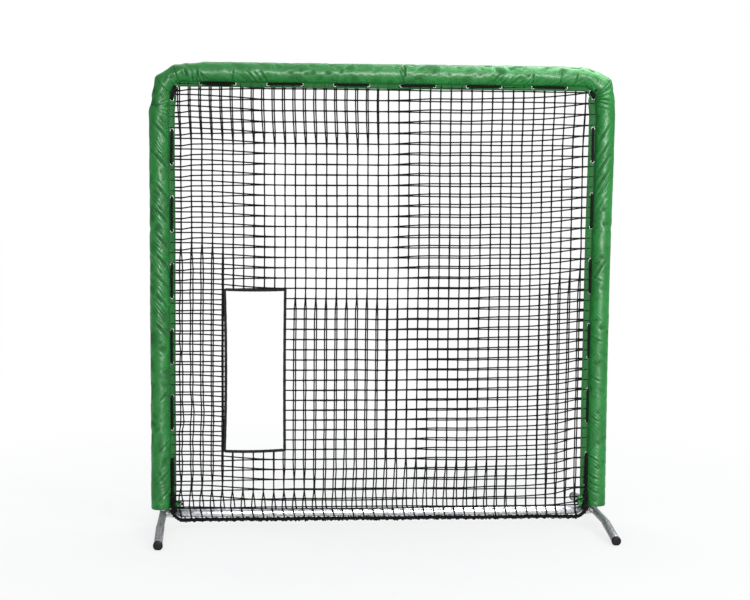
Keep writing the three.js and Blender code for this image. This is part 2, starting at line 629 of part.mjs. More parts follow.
// Height of the rim over the bend's centre, `reach` out from it, along the elbow's own facets.
function rimHeight(reach, radius) {
  if (reach <= 0) return radius;
  const turned = Math.acos(Math.min(1, reach / radius)) / elbowStep;
  const facet = Math.min(ELBOW_STEPS - 1, Math.floor(turned + 1e-9));
  for (const k of [facet, Math.max(0, facet - 1)]) {
    const [near, far] = [elbowStep * k, elbowStep * (k + 1)];
    const [xNear, xFar] = [radius * Math.cos(near), radius * Math.cos(far)];
    if (reach <= xNear + 1e-9 && reach >= xFar - 1e-9) {
      const share = (xNear - reach) / (xNear - xFar);
      return radius * (Math.sin(near) + share * (Math.sin(far) - Math.sin(near)));
    }
  }
  return 0;
}

function netLayer(side, columnShift, rowShift) {
  const { left, right, bottom, top } = netTarget;
  const columns = [
    -netEdgeX + netHalf, -netSide, left, ...between(left, right, 2, columnShift), right,
    ...between(right, netSide, 7, columnShift), netSide, netEdgeX - netHalf];
  const rows = [
    ROPE_Z, NET_RAIL_Z, NET_TURN_Z, NET_SIDE_FOOT_Z, bottom, ...between(bottom, top, 4, rowShift), top,
    ...between(top, netEdgeZ, 4, rowShift)];
  const sideRow = rows.indexOf(NET_SIDE_FOOT_Z);
  const lastColumn = columns.length - 1;
  const atSide = (i, j) => (i === 0 || i === lastColumn) && j < sideRow;
  const inside = (value, low, high) => value > low && value < high;
  const inTarget = (x, z) => inside(x, left, right) && inside(z, bottom, top);
  const box = (x0, x1, z0, z1) => [[x0, z0], [x1, z0], [x1, z1], [x0, z1]];
  const rimRadius = netBendRadius - TWINE;
  const roof = (x) => bendZ + rimHeight(Math.abs(x) - bendX, rimRadius);

  const patches = [];
  columns.forEach((x, i) => {
    rows.forEach((z, j) => {
      if (atSide(i, j)) return;
      if (!inTarget(x, z)) patches.push(box(x - netHalf, x + netHalf, z - netHalf, z + netHalf));
      const nextZ = rows[j + 1];
      if (nextZ && !inTarget(x, (z + nextZ) / 2)) {
        patches.push(box(x - netHalf, x + netHalf, z + netHalf, nextZ - netHalf));
      } else if (!nextZ) {
        const [x0, x1] = [x - netHalf, x + netHalf];
        const [roof0, roof1] = i === 0 || i === lastColumn ? [bendZ, bendZ] : [roof(x0), roof(x1)];
        patches.push([[x0, z + netHalf], [x1, z + netHalf], [x1, roof1], [x0, roof0]]);
      }
      const nextX = columns[i + 1];
      if (nextX && !atSide(i + 1, j) && !inTarget((x + nextX) / 2, z)) {
        patches.push(box(x + netHalf, nextX - netHalf, z - netHalf, z + netHalf));
      }
    });
  });
  // The rim strand under the top rail and round the two elbows.
  const strandEdges = columns.slice(1, -1).flatMap((x) => [x - netHalf, x + netHalf]);
  const flat = [-bendX, ...strandEdges.filter((x) => Math.abs(x) < bendX), bendX];
  for (let k = 0; k + 1 < flat.length; k += 1) {
    patches.push(box(flat[k], flat[k + 1], netEdgeZ - TWINE, netEdgeZ));
  }
  for (const s of [-1, 1]) {
    const turns = Array.from({ length: ELBOW_STEPS + 1 }, (_, k) => rimRadius * Math.cos(elbowStep * k))
      .concat(strandEdges.filter((x) => s * x > bendX).map((x) => s * x - bendX))
      .sort((a, b) => b - a)
      .map((reach) => [reach, rimHeight(reach, rimRadius)]);
    const at = ([reach, height], scale) => [s * (bendX + reach * scale), bendZ + height * scale];
    const outer = netBendRadius / rimRadius;
    for (let k = 0; k + 1 < turns.length; k += 1) {
      const patch = [at(turns[k], 1), at(turns[k], outer), at(turns[k + 1], outer), at(turns[k + 1], 1)];
      patches.push(s > 0 ? patch : patch.reverse());
    }
  }
  return plate(patches, (x, z, face) => [x, side * (netSpread(z) + face * TWINE), z]);
}
add('net_front', netLayer(-1, 0, 0), twine);
add('net_back', netLayer(1, COLUMN_SHIFT, 1 - ROW_SHIFT), twine);

// The opening's outline, `inset` inside the binding's outer edge.
const targetOutline = (inset) => [
  [targetLeft + inset, TARGET_BOTTOM + inset], [targetRight - inset, TARGET_BOTTOM + inset],
  [targetRight - inset, targetTop - inset], [targetLeft + inset, targetTop - inset],
].map(([x, z]) => new THREE.Vector2(x, z));
const ring = new THREE.Shape(targetOutline(0));
ring.holes.push(new THREE.Path(targetOutline(BINDING_WIDTH).reverse()));
const binding = new THREE.ExtrudeGeometry(ring, { depth: BINDING_DEPTH, bevelEnabled: false });
binding.rotateX(Math.PI / 2);
binding.translate(0, BINDING_DEPTH / 2, 0);
add('target_binding', binding, webbing);

// The rope leaves the corner tab, comes down in front of the rail's end and turns in under it.
const ropeEnd = [
  [netSide + 43, -(tubeRadius + 8), 78], [netSide + 39, -(tubeRadius + 11), 62],
  [netSide + 30, -(tubeRadius + 7), 44], [netSide + 18, -12, 31], [netSide + 6, -1, ROPE_Z],
];
const ropeLine = [
  ...ropeEnd.map(([x, y, z]) => [-x, y, z]), [-netSide + 10, 0, ROPE_Z],
  [netSide - 10, 0, ROPE_Z], ...[...ropeEnd].reverse(),
];
add('bottom_rope', rope(ropeLine, ROPE_RADIUS, 8), cord);

export default part;
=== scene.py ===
"""The looks of a pitching target net: laced vinyl pads, a two-layer knotted net with a bound
target opening, a lashed bottom rope, and galvanised tube on rubber-tipped feet.

Metres, in the part's own frame: +X to the right, +Y away from the thrower, +Z up.
"""

import math

import bmesh
import bpy
import numpy as np
from mathutils import Matrix, Vector


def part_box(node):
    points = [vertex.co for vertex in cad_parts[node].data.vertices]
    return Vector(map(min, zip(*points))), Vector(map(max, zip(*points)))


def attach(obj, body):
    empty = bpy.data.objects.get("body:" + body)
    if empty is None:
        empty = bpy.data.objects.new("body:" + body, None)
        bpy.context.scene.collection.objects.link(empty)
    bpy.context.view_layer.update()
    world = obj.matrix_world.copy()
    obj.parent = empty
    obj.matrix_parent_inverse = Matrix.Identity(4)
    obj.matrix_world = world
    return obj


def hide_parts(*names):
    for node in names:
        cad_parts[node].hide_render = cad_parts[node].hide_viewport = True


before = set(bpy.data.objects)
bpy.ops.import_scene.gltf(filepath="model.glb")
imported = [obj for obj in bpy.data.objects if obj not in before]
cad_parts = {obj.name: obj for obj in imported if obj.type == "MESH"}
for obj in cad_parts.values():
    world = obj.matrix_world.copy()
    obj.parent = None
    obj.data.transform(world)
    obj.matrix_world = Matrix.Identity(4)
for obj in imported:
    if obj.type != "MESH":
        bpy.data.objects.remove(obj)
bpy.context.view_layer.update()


def middle(node):
    """The middle of a CAD node's box."""
    low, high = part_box(node)
    return (low + high) / 2


# ---- sizes ----
UPRIGHT_X = middle("right_upright").x
TOP_Z = middle("top_coupler").z
RAIL_Z = middle("bottom_rail").z
PAD_FOOT_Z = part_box("left_upright_cover")[0].z
PAD_RADIUS = 0.0455
PAD_OFFSET = 0.009                   # the pad's round is this far outside the tube
PAD_REACH = PAD_RADIUS + PAD_OFFSET
RING_STEP = 0.0032                   # between the rings that carry a cover's section
BEND_RADIUS = 0.1016
BEND_X = UPRIGHT_X - BEND_RADIUS
BEND_Z = TOP_Z - BEND_RADIUS
# Corner seams at the pad's outside and at its flaps, measured from the top rail's side.
TOP_SEAM = (math.radians(20.5), math.radians(21.4))
SIDE_SEAM = {-1: (math.radians(56.2), math.radians(77)), 1: (math.radians(53.7), math.radians(64))}
SEAM_GAP = math.radians(0.06)
TUBE_RADIUS = 0.01905
TUBE_WALL = 0.00165
INNER_TUBE_RADIUS = 0.017            # the base tube, which slips into the legs
INNER_TUBE_WALL = 0.002
LEG_BORE = 0.01745
SPIGOT_RADIUS = 0.0168
FLAP_ROOT = 0.0397                   # from the tube's line to where the flaps leave the round
FLAP_REACH = 0.066                   # and to the flaps' edge in the plain section
TOP_FLAP_REACH = 0.058
CORNER_FLAP_REACH = 0.064
FLAP_FACE = 0.0053                   # half the thickness over both flaps
SLIT = 0.0038                        # half the gap between them
FOAM_BORE = 0.0196
GROMMET_OFFSET = 0.043
GROMMET_PITCH = 0.1524
GROMMETS = 12
LOWEST_GROMMET_Z = {-1: 0.148, 1: 0.174}   # the left cover sits lower on its post
CORNER_TIES = {-1: (math.radians(43), math.radians(105)), 1: (math.radians(48), math.radians(78))}
LACE_RADIUS = 0.0055
LACE_FACE = 0.0106                   # from the frame's middle plane to a lace's middle
LACE_TURN = 0.0058                   # from a hole to where its lace lies straight
LACE_TAIL = 0.016
MESH = 0.0475                        # one square of the net
TWINE_RADIUS = 0.0032
NET_FIRST_X = -0.9290
NET_COLUMNS = 40
NET_FIRST_Z = 2.0166
NET_ROWS = 41
NET_FOOT_ROW_Z = 0.0770              # the odd row above the bottom rail
NET_TUCK = 0.026                     # from the tube's line to the strands' ends inside the flaps
TARGET = (-0.736, -0.445, 0.340, 1.103)   # outer edges of the binding: left, right, bottom, top
TARGET_INSET = 0.006                 # from the binding's outer edge to the cut ends of the twine
BINDING_WIDTH = 0.013
BINDING_HALF_THICKNESS = 0.0046
ROPE_Z = 0.028
FOOT_BEND_Y = 0.242
FOOT_BEND_RADIUS = 0.200
FOOT_SLOPE = math.radians(9)
FOOT_SPIGOT = 0.074                  # of the base beyond its bend, for a leg to slip on
FRONT = np.array([0.0, -1.0, 0.0])
SIDES = (("left", -1), ("right", 1))
ENDS = (("front", -1), ("rear", 1))


# ---- camera ----
def aim_camera():
    """The photograph's view: 7.5 m in front, a little left of the middle, at the height of an eye."""
    yaw, pitch, roll = (math.radians(a) for a in (4.61, 5.2, 0.52))
    ahead = Vector((math.sin(yaw) * math.cos(pitch), math.cos(yaw) * math.cos(pitch), -math.sin(pitch)))
    right = Vector((math.cos(yaw), -math.sin(yaw), 0))
    up = right.cross(ahead)
    axis_x = right * math.cos(roll) + up * math.sin(roll)
    axis_y = -right * math.sin(roll) + up * math.cos(roll)
    data = bpy.data.cameras.new("camera")
    data.lens = 78.26
    data.sensor_width = 36
    camera = bpy.data.objects.new("camera", data)
    bpy.context.scene.collection.objects.link(camera)
    place = Matrix.Translation((-0.6405, -7.4936, 1.7354))
    camera.matrix_world = place @ Matrix((axis_x, axis_y, -ahead)).transposed().to_4x4()
    bpy.context.scene.camera = camera


aim_camera()


# ---- materials ----
class Finish:
    """A material under construction, with short calls for its nodes."""

    def __init__(self, name, colour, roughness, metallic=0.0):
        self.made = bpy.data.materials.new(name)
        self.made.use_nodes = True
        self.tree = self.made.node_tree
        self.shader = self.tree.nodes["Principled BSDF"]
        self.set("Base Color", (*colour, 1))
        self.set("Roughness", roughness)
        self.set("Metallic", metallic)
        coords = self.node("ShaderNodeTexCoord")
        self.place, self.uv = coords.outputs["Object"], coords.outputs["UV"]

    def set(self, socket, value):
        if isinstance(value, bpy.types.NodeSocket):
            self.tree.links.new(value, self.shader.inputs[socket])
        else:
            self.shader.inputs[socket].default_value = value

    def node(self, kind, inputs=(), **settings):
        made = self.tree.nodes.new(kind)
        for key, value in settings.items():
            setattr(made, key, value)
        for key, value in dict(inputs).items():
            if isinstance(value, bpy.types.NodeSocket):
                self.tree.links.new(value, made.inputs[key])
            else:
                made.inputs[key].default_value = value
        return made

    def stretched(self, vector, scale, turn=(0, 0, 0)):
        return self.node("ShaderNodeMapping", {
            "Vector": vector, "Scale": scale, "Rotation": turn}).outputs[0]

    def turned(self, vector, turn):
        return self.stretched(vector, (1.0, 1.0, 1.0), turn)

    def noise(self, scale, vector=None, detail=4.0, rough=0.55):
        return self.node("ShaderNodeTexNoise", {
            "Vector": vector or self.place, "Scale": scale,
            "Detail": detail, "Roughness": rough}).outputs["Fac"]

    def waves(self, vector, scale, distortion, detail=2.0, **settings):
        return self.node("ShaderNodeTexWave", {
            "Vector": vector, "Scale": scale, "Distortion": distortion,
            "Detail": detail}, **settings).outputs["Fac"]

    def attribute(self, name):
        return self.node("ShaderNodeAttribute", attribute_name=name).outputs["Fac"]

    def spread(self, value, low, high, to_low=0.0, to_high=1.0):
        return self.node("ShaderNodeMapRange", {
            "Value": value, "From Min": low, "From Max": high,
            "To Min": to_low, "To Max": to_high}).outputs[0]

    def maths(self, operation, a, b):
        return self.node("ShaderNodeMath", {0: a, 1: b}, operation=operation).outputs[0]

    def mix(self, share, a, b):
        made = self.node("ShaderNodeMix", data_type="RGBA")
        for index, value in ((0, share), (6, a), (7, b)):
            if isinstance(value, bpy.types.NodeSocket):
                self.tree.links.new(value, made.inputs[index])
            else:
                made.inputs[index].default_value = value if index == 0 else (*value, 1)
        return made.outputs[2]

    def bump(self, height, strength, distance, under=None):
        made = self.node("ShaderNodeBump", {
            "Height": height, "Strength": strength, "Distance": distance})
        if under:
            self.tree.links.new(under, made.inputs["Normal"])
        return made.outputs[0]


def shaded(colour, share):
    """The same colour, darker below a share of 1 and brighter above it."""
    return tuple(min(1.0, c * share) for c in colour)


def green_vinyl():
    """Glossy coated cloth: a faint woven base under the coat, with a painted highlight on its raised folds,
    and painted shade, rougher and with less coat, in its creases and on the flaps, where the `fold` attribute
    is below 0."""
    m = Finish("green_vinyl", (0.02, 0.2, 0.045), 0.4)
    cloudy = m.noise(9.0, detail=5.0)
    base = m.mix(m.spread(cloudy, 0.35, 0.7), (0.005, 0.200, 0.022), (0.010, 0.275, 0.036))
    fold = m.attribute("fold")
    # painted highlight: the vinyl is coloured paler on its raised folds
    pale = m.mix(m.spread(fold, 0.0, 1.0, 0.0, 0.35), base, (0.075, 0.34, 0.12))
    # painted shade: darker colour in the creases, on the flaps and along the flaps' roots
    m.set("Base Color", m.mix(m.spread(fold, 0.0, -1.0, 0.0, 0.75), pale, (0.004, 0.075, 0.014)))
    scuffs = m.spread(m.noise(60.0, detail=3.0), 0.3, 0.7, 0.40, 0.50)
    m.set("Roughness", m.maths("ADD", scuffs, m.spread(fold, 0.0, -0.6, 0.0, 0.35)))
    m.set("Specular IOR Level", 0.34)
    m.set("Coat Weight", m.spread(fold, -0.5, -0.1, 0.0, 0.10))
    m.set("Coat Roughness", 0.26)
    warp, weft = (m.waves(m.uv, 260.0, 0.4, bands_direction=way) for way in "XY")
    cloth = m.bump(m.maths("MULTIPLY", warp, weft), 0.12, 0.0003)
    slack = m.noise(1.0, m.stretched(m.uv, (70.0, 130.0, 1.0), (0, 0, 0.7)), detail=2.0)
    m.set("Normal", m.bump(slack, 0.12, 0.0010, cloth))
    return m.made


def galvanised(name, colour, rough):
    """Zinc-coated tube: soft grey spangle, drawn streaks and dull patches."""
    m = Finish(name, colour, rough, 1.0)
    flakes = m.node("ShaderNodeTexVoronoi", {"Vector": m.place, "Scale": 140.0}).outputs["Color"]
    grey = m.node("ShaderNodeRGBToBW", {"Color": flakes}).outputs[0]
    streak = m.noise(1.0, m.stretched(m.place, (30.0, 9.0, 260.0)), detail=5.0, rough=0.65)
    spangle = m.mix(m.spread(grey, 0.2, 0.8), shaded(colour, 0.62), shaded(colour, 1.22))
    m.set("Base Color", m.mix(m.spread(streak, 0.42, 0.68, 0.0, 0.6), spangle, shaded(colour, 0.8)))
    m.set("Roughness", m.spread(streak, 0.3, 0.7, rough - 0.07, rough + 0.14))
    m.set("Normal", m.bump(m.noise(420.0, detail=2.0), 0.1, 0.0003))
    return m.made


def foot_rubber():
    """Black rubber with a little floor dust."""
    m = Finish("foot_rubber", (0.008, 0.008, 0.008), 0.62)
    dust = m.spread(m.noise(45.0, detail=6.0, rough=0.7), 0.45, 0.8, 0.0, 0.4)
    m.set("Base Color", m.mix(dust, (0.006, 0.006, 0.006), (0.022, 0.021, 0.020)))
    m.set("Specular IOR Level", 0.2)
    m.set("Roughness", m.spread(m.noise(180.0), 0.3, 0.7, 0.52, 0.74))
    m.set("Normal", m.bump(m.noise(900.0, detail=2.0), 0.25, 0.0004))
    return m.made


def twisted_fibre(name, colour, lay):
    """Dyed fibre whose yarns lie `lay` to the metre along the cord."""
    m = Finish(name, colour, 0.78)
    yarns = m.waves(m.turned(m.place, (0.6, 0.5, 0.3)), lay, 1.2, 1.0)
    fuzz = m.noise(1400.0, detail=2.0)
    m.set("Base Color", m.mix(m.spread(yarns, 0.2, 0.9, 0.0, 0.7), shaded(colour, 0.5), shaded(colour, 1.9)))
    m.set("Specular IOR Level", 0.12)
    m.set("Normal", m.bump(m.maths("ADD", yarns, m.maths("MULTIPLY", fuzz, 0.4)), 0.5, 0.0006))
    return m.made


def black_webbing():
    """Woven tape with slanting ribs."""
    m = Finish("black_webbing", (0.010, 0.010, 0.011), 0.7)
    ribs = m.waves(m.turned(m.place, (0, math.radians(45), 0)), 210.0, 0.5)
    m.set("Base Color", m.mix(ribs, (0.006, 0.006, 0.007), (0.02, 0.02, 0.021)))
    m.set("Specular IOR Level", 0.15)
    m.set("Normal", m.bump(ribs, 0.5, 0.0006))
    return m.made


def cream_foam():
    """Open-celled foam, as it shows at a cover's ends."""
    m = Finish("cream_foam", (0.66, 0.62, 0.52), 0.9)
    cells = m.node("ShaderNodeTexVoronoi", {"Vector": m.place, "Scale": 700.0}).outputs["Distance"]
    m.set("Base Color", m.mix(m.noise(30.0), (0.58, 0.54, 0.44), (0.72, 0.69, 0.6)))
    m.set("Normal", m.bump(cells, 0.6, 0.0008))
    return m.made


def plated(name, colour, rough):
    """Bright plating, brushed finely and a little tarnished."""
    m = Finish(name, colour, rough, 1.0)
    tarnish = m.spread(m.noise(160.0, detail=5.0), 0.45, 0.75, 0.0, 0.55)
    m.set("Base Color", m.mix(tarnish, colour, shaded(colour, 0.6)))
    m.set("Roughness", m.spread(m.noise(500.0), 0.3, 0.7, rough - 0.06, rough + 0.1))
    m.set("Normal", m.bump(m.noise(1600.0, detail=1.0), 0.1, 0.0002))
    return m.made


VINYL = green_vinyl()
FOAM = cream_foam()
STEEL = galvanised("galvanised_tube", (0.62, 0.63, 0.65), 0.3)
DULL_STEEL = galvanised("dull_galvanised", (0.33, 0.335, 0.345), 0.42)
RUBBER = foot_rubber()
TWINE = twisted_fibre("net_twine", (0.0055, 0.0055, 0.006), 520.0)
CORD = twisted_fibre("black_cord", (0.006, 0.006, 0.0065), 330.0)
WEBBING = black_webbing()
THREAD = twisted_fibre("dark_thread", (0.012, 0.05, 0.02), 900.0)
NICKEL = plated("nickel_grommet", (0.17, 0.17, 0.16), 0.38)
ZINC = plated("zinc_screw", (0.5, 0.5, 0.47), 0.35)


# ---- meshes and trees ----
def link(name, mesh, *materials):
    """Puts a mesh in the scene as an object, with its materials in order."""
    made = bpy.data.objects.new(name, mesh)
    bpy.context.scene.collection.objects.link(made)
    for one in materials:
        made.data.materials.append(one)
    return made


def keep(piece, slot, *stood_for, body="frame"):
    """Rides a finished piece on its body, in place of the CAD nodes that it stands for."""
    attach(piece, body)
    if stood_for:
        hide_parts(*stood_for)
    return piece


def facing_out(mesh, sharp=None, triangles=False):
    """Turns a closed mesh's faces outwards, smooth but for edges sharper than `sharp` degrees, and
    splits its many-sided ends into triangles where asked."""
    work = bmesh.new()
    work.from_mesh(mesh)
    if triangles:
        bmesh.ops.triangulate(work, faces=[f for f in work.faces if len(f.verts) > 4])
    bmesh.ops.recalc_face_normals(work, faces=work.faces)
    work.to_mesh(mesh)
    work.free()
    mesh.shade_smooth()
    if sharp:
        mesh.set_sharp_from_angle(angle=math.radians(sharp))


def hoop_faces(rings, sides, closed=False):
    """The quads between rings of points, round each ring, and from the last ring to the first if closed."""
    return [(r * sides + k, r * sides + (k + 1) % sides,
             (r + 1) % rings * sides + (k + 1) % sides, (r + 1) % rings * sides + k)
            for r in range(rings if closed else rings - 1) for k in range(sides)]


class Tree:
    """A geometry tree under construction: named inputs, then nodes."""

    def __init__(self, name, **inputs):
        self.group = bpy.data.node_groups.new(name, "GeometryNodeTree")
        face = self.group.interface
        face.new_socket("Geometry", in_out="INPUT", socket_type="NodeSocketGeometry")
        for label, (kind, value) in inputs.items():
            socket = face.new_socket(label, in_out="INPUT", socket_type="NodeSocket" + kind)
            if value is not None:
                socket.default_value = value
        face.new_socket("Geometry", in_out="OUTPUT", socket_type="NodeSocketGeometry")
        self.entry = self.group.nodes.new("NodeGroupInput")
        self.exit = self.group.nodes.new("NodeGroupOutput")

    def given(self, label):
        return self.entry.outputs[label]

    def node(self, kind, inputs=(), out=0, **settings):
        made = self.group.nodes.new(kind)
        for key, value in settings.items():
            setattr(made, key, value)
        for key, value in dict(inputs).items():
            if isinstance(value, bpy.types.NodeSocket):
                self.group.links.new(value, made.inputs[key])
            else:
                made.inputs[key].default_value = value
        return made.outputs[out]

    def end(self, geometry, material):
        real = self.node("GeometryNodeRealizeInstances", {"Geometry": geometry})
        done = self.node("GeometryNodeSetMaterial", {"Geometry": real, "Material": material})
        self.group.links.new(done, self.exit.inputs[0])
        return self.group


def grow(name, group, mesh, **values):
    """Runs a tree on a mesh and returns a plain object of the result."""
    made = link(name, mesh)
    modifier = made.modifiers.new("tree", "NODES")
    modifier.node_group = group
    for item in group.interface.items_tree:
        if item.in_out == "INPUT" and item.name in values:
            modifier[item.identifier] = values[item.name]
    ready = made.evaluated_get(bpy.context.evaluated_depsgraph_get())
    result = bpy.data.meshes.new_from_object(ready)
    made.modifiers.clear()
    made.data = result
    return made


def paths_mesh(name, paths):
    """Edges along each path {points, swell, closed}; swell widens what is grown on the path."""
    points, edges, swell = [], [], []
    for path in paths:
        first, count = len(points), len(path["points"])
        points.extend(path["points"])
        swell.extend(path.get("swell", [1.0] * count))
        edges.extend((first + i, first + i + 1) for i in range(count - 1))
        if path.get("closed"):
            edges.append((first + count - 1, first))
    mesh = bpy.data.meshes.new(name)
    mesh.from_pydata([tuple(p) for p in points], edges, [])
    mesh.attributes.new("swell", "FLOAT", "POINT").data.foreach_set("value", swell)
    return mesh


def round_strands(t, sides):
    """Adds the nodes that give each path of a tree its round twine, widened by `swell`."""
    curve = t.node("GeometryNodeMeshToCurve", {"Mesh": t.given("Geometry")})
    swell = t.node("GeometryNodeInputNamedAttribute", {"Name": "swell"}, data_type="FLOAT")
    wide = t.node("ShaderNodeMath", {0: swell, 1: t.given("Radius")}, operation="MULTIPLY")
    ring = t.node("GeometryNodeCurvePrimitiveCircle", {"Resolution": sides, "Radius": 1.0})
    return t.node("GeometryNodeCurveToMesh", {
        "Curve": curve, "Profile Curve": ring, "Scale": wide, "Fill Caps": True})


def cord_tree():
    """A round cord along each path, with closed ends."""
    t = Tree("cord_along_path", Radius=("Float", 0.004), Sides=("Int", 8), Material=("Material", None))
    smooth = t.node("GeometryNodeSetShadeSmooth", {"Geometry": round_strands(t, t.given("Sides"))})
    return t.end(smooth, t.given("Material"))


def net_tree():
    """Knotted twine: a thin cord along each path, and a knot wrapped round each marked point."""
    t = Tree("knotted_net", Radius=("Float", TWINE_RADIUS), Knot=("Float", 0.0042),
             Seed=("Int", 7), Material=("Material", None))
    strands = round_strands(t, 5)
    tied = t.node("GeometryNodeInputNamedAttribute", {"Name": "knot"}, data_type="BOOLEAN")
    ball = t.node("GeometryNodeMeshUVSphere", {"Segments": 6, "Rings": 4, "Radius": 1.0})
    turn = t.node("FunctionNodeRandomValue", {"Min": (-0.5, -0.7, -0.5), "Max": (0.5, 0.7, 0.5),
                                              "Seed": t.given("Seed")}, data_type="FLOAT_VECTOR")
    size = t.node("FunctionNodeRandomValue", {"Min": (0.95, 0.62, 0.8), "Max": (1.35, 0.8, 1.1),
                                              "Seed": t.given("Seed")}, data_type="FLOAT_VECTOR")
    grown = t.node("ShaderNodeVectorMath", {0: size, "Scale": t.given("Knot")}, operation="SCALE")
    knots = t.node("GeometryNodeInstanceOnPoints", {
        "Points": t.given("Geometry"), "Selection": tied, "Instance": ball, "Rotation": turn, "Scale": grown})
    both = t.group.nodes.new("GeometryNodeJoinGeometry")
    for part in (knots, strands):
        t.group.links.new(part, both.inputs[0])
    smooth = t.node("GeometryNodeSetShadeSmooth", {"Geometry": both.outputs[0]})
    return t.end(smooth, t.given("Material"))


def stitch_tree():
    """Sewn thread: short stitches at an even pitch along each path."""
    t = Tree("sewn_stitches", Pitch=("Float", 0.005), Length=("Float", 0.0034),
             Thick=("Float", 0.0009), Material=("Material", None))
    curve = t.node("GeometryNodeMeshToCurve", {"Mesh": t.given("Geometry")})
    spots = t.group.nodes.new("GeometryNodeResampleCurve")
    spots.mode = "LENGTH"
    t.group.links.new(curve, spots.inputs["Curve"])
    t.group.links.new(t.given("Pitch"), spots.inputs["Length"])
    along = t.node("GeometryNodeInputTangent")
    turn = t.node("FunctionNodeAlignRotationToVector", {"Vector": along}, axis="X")
    half = t.node("ShaderNodeMath", {0: t.given("Length"), 1: 0.5}, operation="MULTIPLY")
    size = t.node("ShaderNodeCombineXYZ", {"X": half, "Y": t.given("Thick"), "Z": t.given("Thick")})
    bead = t.node("GeometryNodeMeshUVSphere", {"Segments": 5, "Rings": 4, "Radius": 1.0})
    rows = t.node("GeometryNodeInstanceOnPoints", {
        "Points": spots.outputs[0], "Instance": bead, "Rotation": turn, "Scale": size})
    smooth = t.node("GeometryNodeSetShadeSmooth", {"Geometry": rows})
    return t.end(smooth, t.given("Material"))


def ring_tree():
    """Rolled grommet rings, one on each point, facing along the point's own direction."""
    t = Tree("grommet_rings", Hole=("Float", 0.0054), Roll=("Float", 0.0017), Material=("Material", None))
    path = t.node("GeometryNodeCurvePrimitiveCircle", {"Resolution": 20, "Radius": t.given("Hole")})
    flat = t.node("GeometryNodeTransform", {
        "Geometry": t.node("GeometryNodeCurvePrimitiveCircle", {"Resolution": 8, "Radius": t.given("Roll")}),
        "Scale": (1.5, 0.75, 1.0), "Translation": (0.0016, 0, 0)})
    ring = t.node("GeometryNodeCurveToMesh", {"Curve": path, "Profile Curve": flat})
    facing = t.node("GeometryNodeInputNamedAttribute", {"Name": "facing"}, data_type="FLOAT_VECTOR")
    turn = t.node("FunctionNodeAlignRotationToVector", {"Vector": facing}, axis="Z")
    rows = t.node("GeometryNodeInstanceOnPoints", {
        "Points": t.given("Geometry"), "Instance": ring, "Rotation": turn})
    smooth = t.node("GeometryNodeSetShadeSmooth", {"Geometry": rows})
    return t.end(smooth, t.given("Material"))


CORD_TREE, NET_TREE, STITCH_TREE, RING_TREE = cord_tree(), net_tree(), stitch_tree(), ring_tree()


def cords(name, paths, radius, sides=8, material=CORD):
    """One mesh of round cords along paths."""
    return grow(name, CORD_TREE, paths_mesh(name, paths), Radius=radius, Sides=sides, Material=material)


def rounded(points, rounds=2, closed=False):
    """Cuts a route's corners, which leaves a smooth line through the same run."""
    line = np.asarray(points, float)
    for _ in range(rounds):
        after = np.roll(line, -1, 0) if closed else line[1:]
        here = line if closed else line[:-1]
        cut = np.stack([0.75 * here + 0.25 * after, 0.25 * here + 0.75 * after], 1).reshape(-1, 3)
        line = cut if closed else np.vstack([line[:1], cut, line[-1:]])
    return line


def swollen(path, swell):
    """The path with its twine wider or thinner all along."""
    return {**path, "swell": [swell] * len(path["points"])}


def evenly(points, step):
    """The same line with its points `step` apart."""
    line = np.asarray(points, float)
    run = np.concatenate([[0], np.cumsum(np.linalg.norm(np.diff(line, axis=0), axis=1))])
    spots = np.linspace(0, run[-1], max(2, int(round(run[-1] / step)) + 1))
    return np.stack([np.interp(spots, run, line[:, k]) for k in range(3)], 1)


def frames_along(line):
    """Two unit vectors square to the line at each point, carried along it without twist."""
    along = np.gradient(line, axis=0)
    along /= np.linalg.norm(along, axis=1)[:, None]
    seed = np.array([0.0, 0.0, 1.0]) if abs(along[0][2]) < 0.9 else np.array([1.0, 0.0, 0.0])
    first = []
    for way in along:
        seed = seed - way * (seed @ way)
        seed = seed / np.linalg.norm(seed)
        first.append(seed)
    first = np.array(first)
    return first, np.cross(along, first)


def laid(points, radius, strands, pitch, step):
    """The strands of a rope: helices round a line."""
    line = evenly(points, step)
    run = np.arange(len(line)) * step
    first, second = frames_along(line)
    made = []
    for k in range(strands):
        angle = 2 * math.pi * (run / pitch + k / strands)[:, None]
        made.append({"points": line + radius * (first * np.cos(angle) + second * np.sin(angle))})
    return made


def overhand(at, size, turn):
    """A small knot's path: a trefoil of `size` radius."""
    t = np.linspace(0, 2 * math.pi, 26, endpoint=False)
    shape = np.stack([np.sin(t) + 2 * np.sin(2 * t),
                      np.cos(t) - 2 * np.cos(2 * t),
                      -1.3 * np.sin(3 * t)], 1)
    spin = np.array(Matrix.Rotation(turn, 3, "Z") @ Matrix.Rotation(turn * 1.7, 3, "X"))
    return {"points": np.asarray(at) + (shape * size / 3) @ spin.T, "closed": True}


def cell_noise(x, y, seed):
    """Smooth noise from -1 to 1 over x and y, counted in cells."""
    cells = 61
    lattice = np.random.default_rng(seed).uniform(-1, 1, (cells, cells))
    x0, y0 = np.floor(x).astype(int), np.floor(y).astype(int)
    fx, fy = x - x0, y - y0
    fx, fy = fx * fx * (3 - 2 * fx), fy * fy * (3 - 2 * fy)

    def pick(i, j):
        return lattice[i % cells, j % cells]

    low = pick(x0, y0) * (1 - fx) + pick(x0 + 1, y0) * fx
    high = pick(x0, y0 + 1) * (1 - fx) + pick(x0 + 1, y0 + 1) * fx
    return low * (1 - fy) + high * fy


def ease(value, low, high):
    """0 before low, 1 after high, smooth in between."""
    share = np.clip((np.asarray(value, float) - low) / (high - low), 0, 1)
    return share * share * (3 - 2 * share)


def within(value, a, b, c, d):
    """1 between b and c, smoothly down to 0 at a and d."""
    return ease(value, a, b) * ease(value, d, c)


